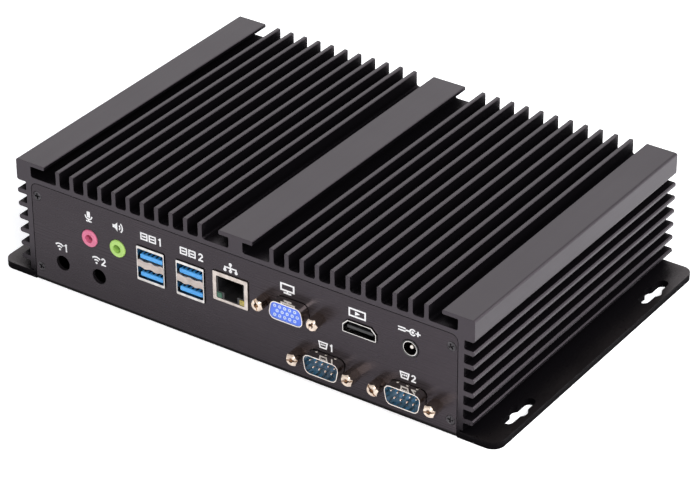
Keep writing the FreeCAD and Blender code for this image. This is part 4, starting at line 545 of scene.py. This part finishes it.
for name, x, z, size, shapes in (
        ("aerial_mark_one", aerial_left, aerial_row, 0.0029, aerial + beside(one, 1.15)),
        ("aerial_mark_two", aerial_right, aerial_row, 0.0029, aerial + beside(two, 1.2)),
        ("microphone_mark", middle("microphone_jack"), upper_row, 0.0035, microphone),
        ("loudspeaker_mark", middle("speaker_jack"), upper_row, 0.0036, loudspeaker),
        ("left_data_mark", data_left, upper_row, 0.0029, boxes + beside(one, 1.65)),
        ("right_data_mark", data_right, upper_row, 0.0029, boxes + beside(two, 1.75)),
        ("network_mark", middle("lan_shell"), upper_row, 0.0029, network),
        ("screen_mark", middle("video_insulator") - 0.0023, upper_row, 0.0034, screen),
        ("film_mark", middle("digital_video_shell") - 0.0012, upper_row, 0.0032, film),
        ("serial_mark_one", serial_left, serial_row, 0.0027, plug + beside(one, 0.75)),
        ("serial_mark_two", serial_right, serial_row, 0.0027, plug + beside(two, 0.75)),
        ("power_mark", middle("power_socket_sleeve") - 0.001, upper_row + 0.0008, 0.0027, power)):
    mark = closed(name, printed(shapes, x, z, size), ink)
    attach(mark, "chassis")


# ------------------------------------------------------------------ aerial holes and audio sockets
# Two aerial holes are left open. Each audio socket is moulded in its own colour, pink for the
# microphone and lime for the loudspeaker, with a sprung plated contact in its bore.
def moulded(name, dark, light, roughness, rim=None):
    """Moulded plastic with a fine spark-eroded skin and, if asked, a painted highlight in a paler colour at
    its edges.
    """
    finish, tree, shader = material(name)
    skin = grain(tree, 2200.0, detail=2.0)
    colour = tint(tree, grain(tree, 160.0, detail=4.0), dark, light)
    if rim is not None:
        # Painted highlight: the rim colour is laid over the edges, where the bevelled normal turns from the
        # face.
        highlight_share = edges(tree, 0.00022, flat=0.995, turned=0.80)[1]
        colour = laid_over(tree, highlight_share, colour, (*rim, 1))
    tree.links.new(colour, shader.inputs["Base Color"])
    tree.links.new(spread(tree, skin, roughness - 0.05, roughness + 0.08), shader.inputs["Roughness"])
    rough_up(tree, shader, skin, depth=0.00001)
    return finish


finish_node(moulded("microphone_pink", (0.64, 0.13, 0.24), (0.78, 0.19, 0.32), 0.38), "microphone_jack")
finish_node(moulded("loudspeaker_lime", (0.38, 0.62, 0.13), (0.50, 0.74, 0.20), 0.38), "speaker_jack")
gilt = plated("gold_plate", (0.74, 0.58, 0.30), (0.90, 0.78, 0.50), 0.24, (2500, 400, 2500))
finish_node(gilt, "audio_springs")


# ------------------------------------------------------------------ stacked data sockets
# Folded and nickel plated steel shells, each with two openings over bright blue moulded tongues
# with five contacts. A pressed band with a wavy edge parts the two openings.
nickel = plated("nickel_plate", (0.44, 0.42, 0.40), (0.64, 0.62, 0.60), 0.16, (3000, 300, 3000),
                depth=0.000003)
finish_node(nickel, "front_data_port_shells", "rear_data_port_shell")
# The blue tongues get a painted highlight in a paler blue along their edges.
port_blue = moulded("port_blue", (0.050, 0.330, 0.780), (0.090, 0.430, 0.900), 0.34,
                    rim=(0.12, 0.48, 0.95))
finish_node(port_blue, "front_data_port_insulators", "rear_data_port_insulator")
strip = plated("contact_strips", (0.010, 0.016, 0.040), (0.03, 0.04, 0.07), 0.42, (900, 900, 900))
finish_node(strip, "front_data_port_contacts", "rear_data_port_contacts")
band_metal = plated("band_plate", (0.34, 0.29, 0.265), (0.50, 0.44, 0.41), 0.46, (700, 700, 700),
                    depth=0.00003)
finish_node(band_metal, "front_data_port_dividers", "rear_data_port_divider")


def wavy_band(net, x, z, front, back):
    """A plate as wide as the opening whose upper and lower edges wave."""
    half_width, half_height, wave, half_waves, columns = 0.0063, 0.00155, 0.00030, 5, 28
    rings = []
    for i in range(columns + 1):
        along = i / columns
        swing = wave * math.sin(along * math.pi * half_waves)
        at = x + (2 * along - 1) * half_width
        rings.append([net.verts.new(corner) for corner in (
            (at, front, z - half_height + swing), (at, front, z + half_height + swing),
            (at, back, z + half_height + swing), (at, back, z - half_height + swing))])
    for i in range(columns):
        for j in range(4):
            k = (j + 1) % 4
            net.faces.new((rings[i][j], rings[i + 1][j], rings[i + 1][k], rings[i][k]))
    net.faces.new(rings[0])
    net.faces.new(rings[-1][::-1])


low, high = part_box("front_data_port_shells")
rear_low, rear_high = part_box("rear_data_port_shell")
proud, sunk = 0.00012, 0.0003
net = bmesh.new()
for x in (data_left, data_right):
    wavy_band(net, x, (low[2] + high[2]) / 2, low[1] - proud, low[1] + sunk)
wavy_band(net, middle("rear_data_port_shell"), (rear_low[2] + rear_high[2]) / 2,
          rear_high[1] - sunk, rear_high[1] + proud)
bands = closed("port_bands", net, band_metal)
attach(bands, "chassis")


# ------------------------------------------------------------------ network socket
# Drawn shield of satin plated steel round a black moulded insert, with eight gilt wires and two
# clear light guides, green and yellow, under the mouth.
shield = plated("satin_shield", (0.38, 0.33, 0.30), (0.56, 0.50, 0.46), 0.34, (1200, 1200, 300))
finish_node(shield, "lan_shell")
black = moulded("black_moulding", (0.006, 0.006, 0.007), (0.014, 0.013, 0.014), 0.40)
finish_node(black, "lan_insert")
finish_node(gilt, "lan_contacts")
green = moulded("green_light_guide", (0.008, 0.070, 0.035), (0.020, 0.140, 0.070), 0.14)
finish_node(green, "lan_light_green")
finish_node(moulded("yellow_light_guide", (0.24, 0.18, 0.03), (0.40, 0.31, 0.05), 0.14), "lan_light_yellow")


# ------------------------------------------------------------------ screen socket and serial plugs
# Drawn, bright nickel shells. The screen socket has a blue insulator with fifteen holes; a painted
# highlight lightens its edges, and pale rings at the hole mouths are painted highlights. Each serial plug
# has nine pins in a deep teal insulator and three dimples on its shell.
bright_nickel = plated("drawn_nickel", (0.50, 0.46, 0.42), (0.74, 0.69, 0.64), 0.06, (600, 200, 600),
                       depth=0.000002)
finish_node(bright_nickel, "video_shell", "serial_shells")
# Painted highlight: the screen insulator is paler blue along its edges.
finish_node(moulded("video_blue", (0.065, 0.150, 0.700), (0.090, 0.200, 0.840), 0.40,
                    rim=(0.36, 0.48, 0.98)), "video_insulator")
# Pale blue rings laid at the mouths of the fifteen holes are painted highlights.
rim_tree, given, group_out = node_tree_for("hole_rim_highlight", radius=0.0006, thickness=0.00015)
circle = wire(rim_tree, "GeometryNodeCurvePrimitiveCircle", Resolution=20, Radius=given["radius"])
section = wire(rim_tree, "GeometryNodeCurvePrimitiveCircle", Resolution=6, Radius=given["thickness"])
ring = wire(rim_tree, "GeometryNodeCurveToMesh", i0=circle.outputs["Curve"], i1=section.outputs["Curve"])
set_out(rim_tree, given["Places"], ring.outputs[0], 0.0, given["finish"], group_out)
low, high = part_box("video_shell")
video_x, video_z = middle("video_shell"), (low[2] + high[2]) / 2
hole_pitch, row_pitch, bedded = 0.00229, 0.00198, 0.00002
rim_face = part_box("video_insulator")[0][1] + bedded
hole_places = [((video_x + (column - 2) * hole_pitch + (hole_pitch if row == 0 else -hole_pitch) / 4,
                 rim_face, video_z + row * row_pitch), (0, -1, 0))
               for row in (-1, 0, 1) for column in range(5)]
rim_highlights = grown("socket_hole_rim_highlights", rim_tree, hole_places,
             moulded("rim_highlight_blue", (0.52, 0.62, 0.95), (0.66, 0.76, 0.99), 0.30), radius=0.00050,
             thickness=0.00024)
finish_node(moulded("serial_teal", (0.016, 0.135, 0.300), (0.045, 0.260, 0.520), 0.20), "serial_insulators")
finish_node(bright_nickel, "serial_pins")
dimple_tree, given, group_out = node_tree_for("shell_dimple", radius=0.0004, rise=0.5)
ball = wire(dimple_tree, "GeometryNodeMeshUVSphere", Segments=16, Rings=10, Radius=given["radius"])
squash = wire(dimple_tree, "ShaderNodeCombineXYZ", X=1.0, Y=1.0, Z=given["rise"])
dome = wire(dimple_tree, "GeometryNodeTransform", Geometry=ball.outputs["Mesh"], Scale=squash.outputs[0])
set_out(dimple_tree, given["Places"], dome.outputs[0], 0.0, given["finish"], group_out)
low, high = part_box("serial_shells")
serial_z = (low[2] + high[2]) / 2
dimple_pitch, set_back, half_height = 0.0043, 0.00385, 0.00415
dimple_places = [((x + step * dimple_pitch, low[1] + set_back, serial_z + half_height), (0, 0, 1))
                 for x in (serial_left, serial_right) for step in (-1, 0, 1)]
dimples = grown("shell_dimples", dimple_tree, dimple_places, bright_nickel, radius=0.0006, rise=0.45)


# ------------------------------------------------------------------ jackscrews
# Turned hexagonal brass standoffs, nickel plated with a warm tone, that clamp each D-shaped shell
# to the panel. Each has a chamfered crown, a driver slot and a threaded bore.
jack_tree, given, group_out = node_tree_for("jackscrew", across=0.0048, length=0.0062, shaft=0.0015,
                                            shaft_length=0.0039, bore=0.0010, slot=0.0008)
corner_radius = worked_out(jack_tree, given["across"], 1 / math.sqrt(3), "MULTIPLY")
# The hexagonal blank runs past the tip, and a wide cone cuts it back to a chamfered crown.
blank_share, crown_share, cone_share = 1.2, 0.43, 1.3
blank_length = worked_out(jack_tree, given["length"], blank_share, "MULTIPLY")
blank_middle = worked_out(jack_tree, given["length"], blank_share / 2 - 1, "MULTIPLY")
hexagon = wire(jack_tree, "GeometryNodeMeshCylinder", Vertices=6, Radius=corner_radius,
               Depth=blank_length)
back = worked_out(jack_tree, given["length"], -1.0, "MULTIPLY")
crown_top = worked_out(jack_tree, given["across"], crown_share, "MULTIPLY")
crown_depth = worked_out(jack_tree, given["length"], cone_share, "MULTIPLY")
crown_back = worked_out(jack_tree, given["length"], -cone_share, "MULTIPLY")
crown_foot = worked_out(jack_tree, crown_top, crown_depth)
crown = wire(jack_tree, "GeometryNodeMeshCone", Vertices=48, **{
    "Radius Top": crown_top, "Radius Bottom": crown_foot, "Depth": crown_depth})
rounded = wire(jack_tree, "GeometryNodeMeshBoolean", set_operation="INTERSECT", set_solver="EXACT")
jack_tree.links.new(moved(jack_tree, hexagon.outputs["Mesh"], blank_middle), rounded.inputs["Mesh 2"])
jack_tree.links.new(moved(jack_tree, crown.outputs["Mesh"], crown_back), rounded.inputs["Mesh 2"])
bore = wire(jack_tree, "GeometryNodeMeshCylinder", Vertices=24, Radius=given["bore"],
            Depth=given["length"])
past_corners, above_and_below = 1.4, 2.0      # the brick that cuts the slot
slot_long = worked_out(jack_tree, given["across"], past_corners, "MULTIPLY")
slot_deep = worked_out(jack_tree, given["slot"], above_and_below, "MULTIPLY")
body = cut_away(jack_tree, rounded.outputs["Mesh"], bore.outputs["Mesh"],
                brick(jack_tree, slot_long, given["slot"], slot_deep))
shaft = wire(jack_tree, "GeometryNodeMeshCylinder", Vertices=24, Radius=given["shaft"],
             Depth=given["shaft_length"])
half_shaft = worked_out(jack_tree, given["shaft_length"], 0.5, "MULTIPLY")
shaft_middle = worked_out(jack_tree, back, half_shaft, "SUBTRACT")
jack = wire(jack_tree, "GeometryNodeJoinGeometry", Geometry=body)
jack_tree.links.new(moved(jack_tree, shaft.outputs["Mesh"], shaft_middle), jack.inputs["Geometry"])
most_turn = 2.4
set_out(jack_tree, given["Places"], jack.outputs[0], most_turn, given["finish"], group_out)
warm_nickel = plated("warm_nickel", (0.46, 0.37, 0.30), (0.70, 0.60, 0.51), 0.13, (1500, 1500, 1500),
                     depth=0.000004)
tip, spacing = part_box("jackscrews")[0][1], 0.02499
jack_places = [((x + side * spacing / 2, tip, z), (0, -1, 0)) for x, z in (
    (video_x, video_z), (serial_left, serial_z), (serial_right, serial_z)) for side in (-1, 1)]
jacks = grown("shell_jackscrews", jack_tree, jack_places, warm_nickel, across=0.0048, length=0.0062,
              shaft=0.0015, shaft_length=0.0039, bore=0.0010, slot=0.0008)
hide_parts("jackscrews")


# ------------------------------------------------------------------ digital screen and power sockets
# The digital screen socket is a folded shell round a black tongue. The power socket is a black
# moulding with a plated sleeve and a centre pin.
finish_node(nickel, "digital_video_shell", "power_socket_sleeve")
finish_node(bright_nickel, "power_socket_pin")
finish_node(black, "digital_video_tongue", "power_socket_body")


# ------------------------------------------------------------------ rear button and lights
# A turned button with a fine brushed face slides in its moulded guide behind the rear panel and
# works a small switch. Two clear green light guides stand beside it.
finish_node(plated("turned_button", (0.30, 0.29, 0.29), (0.42, 0.41, 0.41), 0.28, (1500, 1500, 1500)),
            "power_button")
finish_node(black, "button_guide", "button_switch")
finish_node(green, "indicator_lights")


# ------------------------------------------------------------------ boards and their parts
# Glass fibre boards with green solder lacquer, black moulded chips and sockets, a steel coin
# cell, aluminium cans and plated posts and screws.
lacquer = moulded("solder_lacquer", (0.008, 0.060, 0.028), (0.015, 0.095, 0.042), 0.3)
finish_node(lacquer, "serial_board", "main_board", "memory_module", "storage_card", "wireless_card")
finish_node(black, "serial_headers", "memory_socket", "storage_socket", "wireless_socket",
            "coin_cell_holder", "processor", "controller_chips", "power_inductors")
finish_node(moulded("ribbon_sheath", (0.28, 0.28, 0.29), (0.38, 0.38, 0.39), 0.55), "serial_ribbon")
zinc = plated("zinc_plate", (0.40, 0.39, 0.36), (0.56, 0.54, 0.50), 0.34, (900, 900, 900))
finish_node(zinc, "board_standoffs", "board_screws", "heat_block_screws", "card_spacers", "coin_cell")


# ------------------------------------------------------------------ heat path
# A milled aluminium block carries the processor's heat to the housing through a soft pad, and
# the capacitors have bare aluminium cans.
finish_node(moulded("thermal_silicone", (0.20, 0.22, 0.27), (0.26, 0.28, 0.33), 0.7), "thermal_pad")
finish_node(plated("bare_aluminium", (0.55, 0.55, 0.56), (0.70, 0.70, 0.71), 0.36, (1200, 200, 1200)),
            "heat_block", "capacitors")
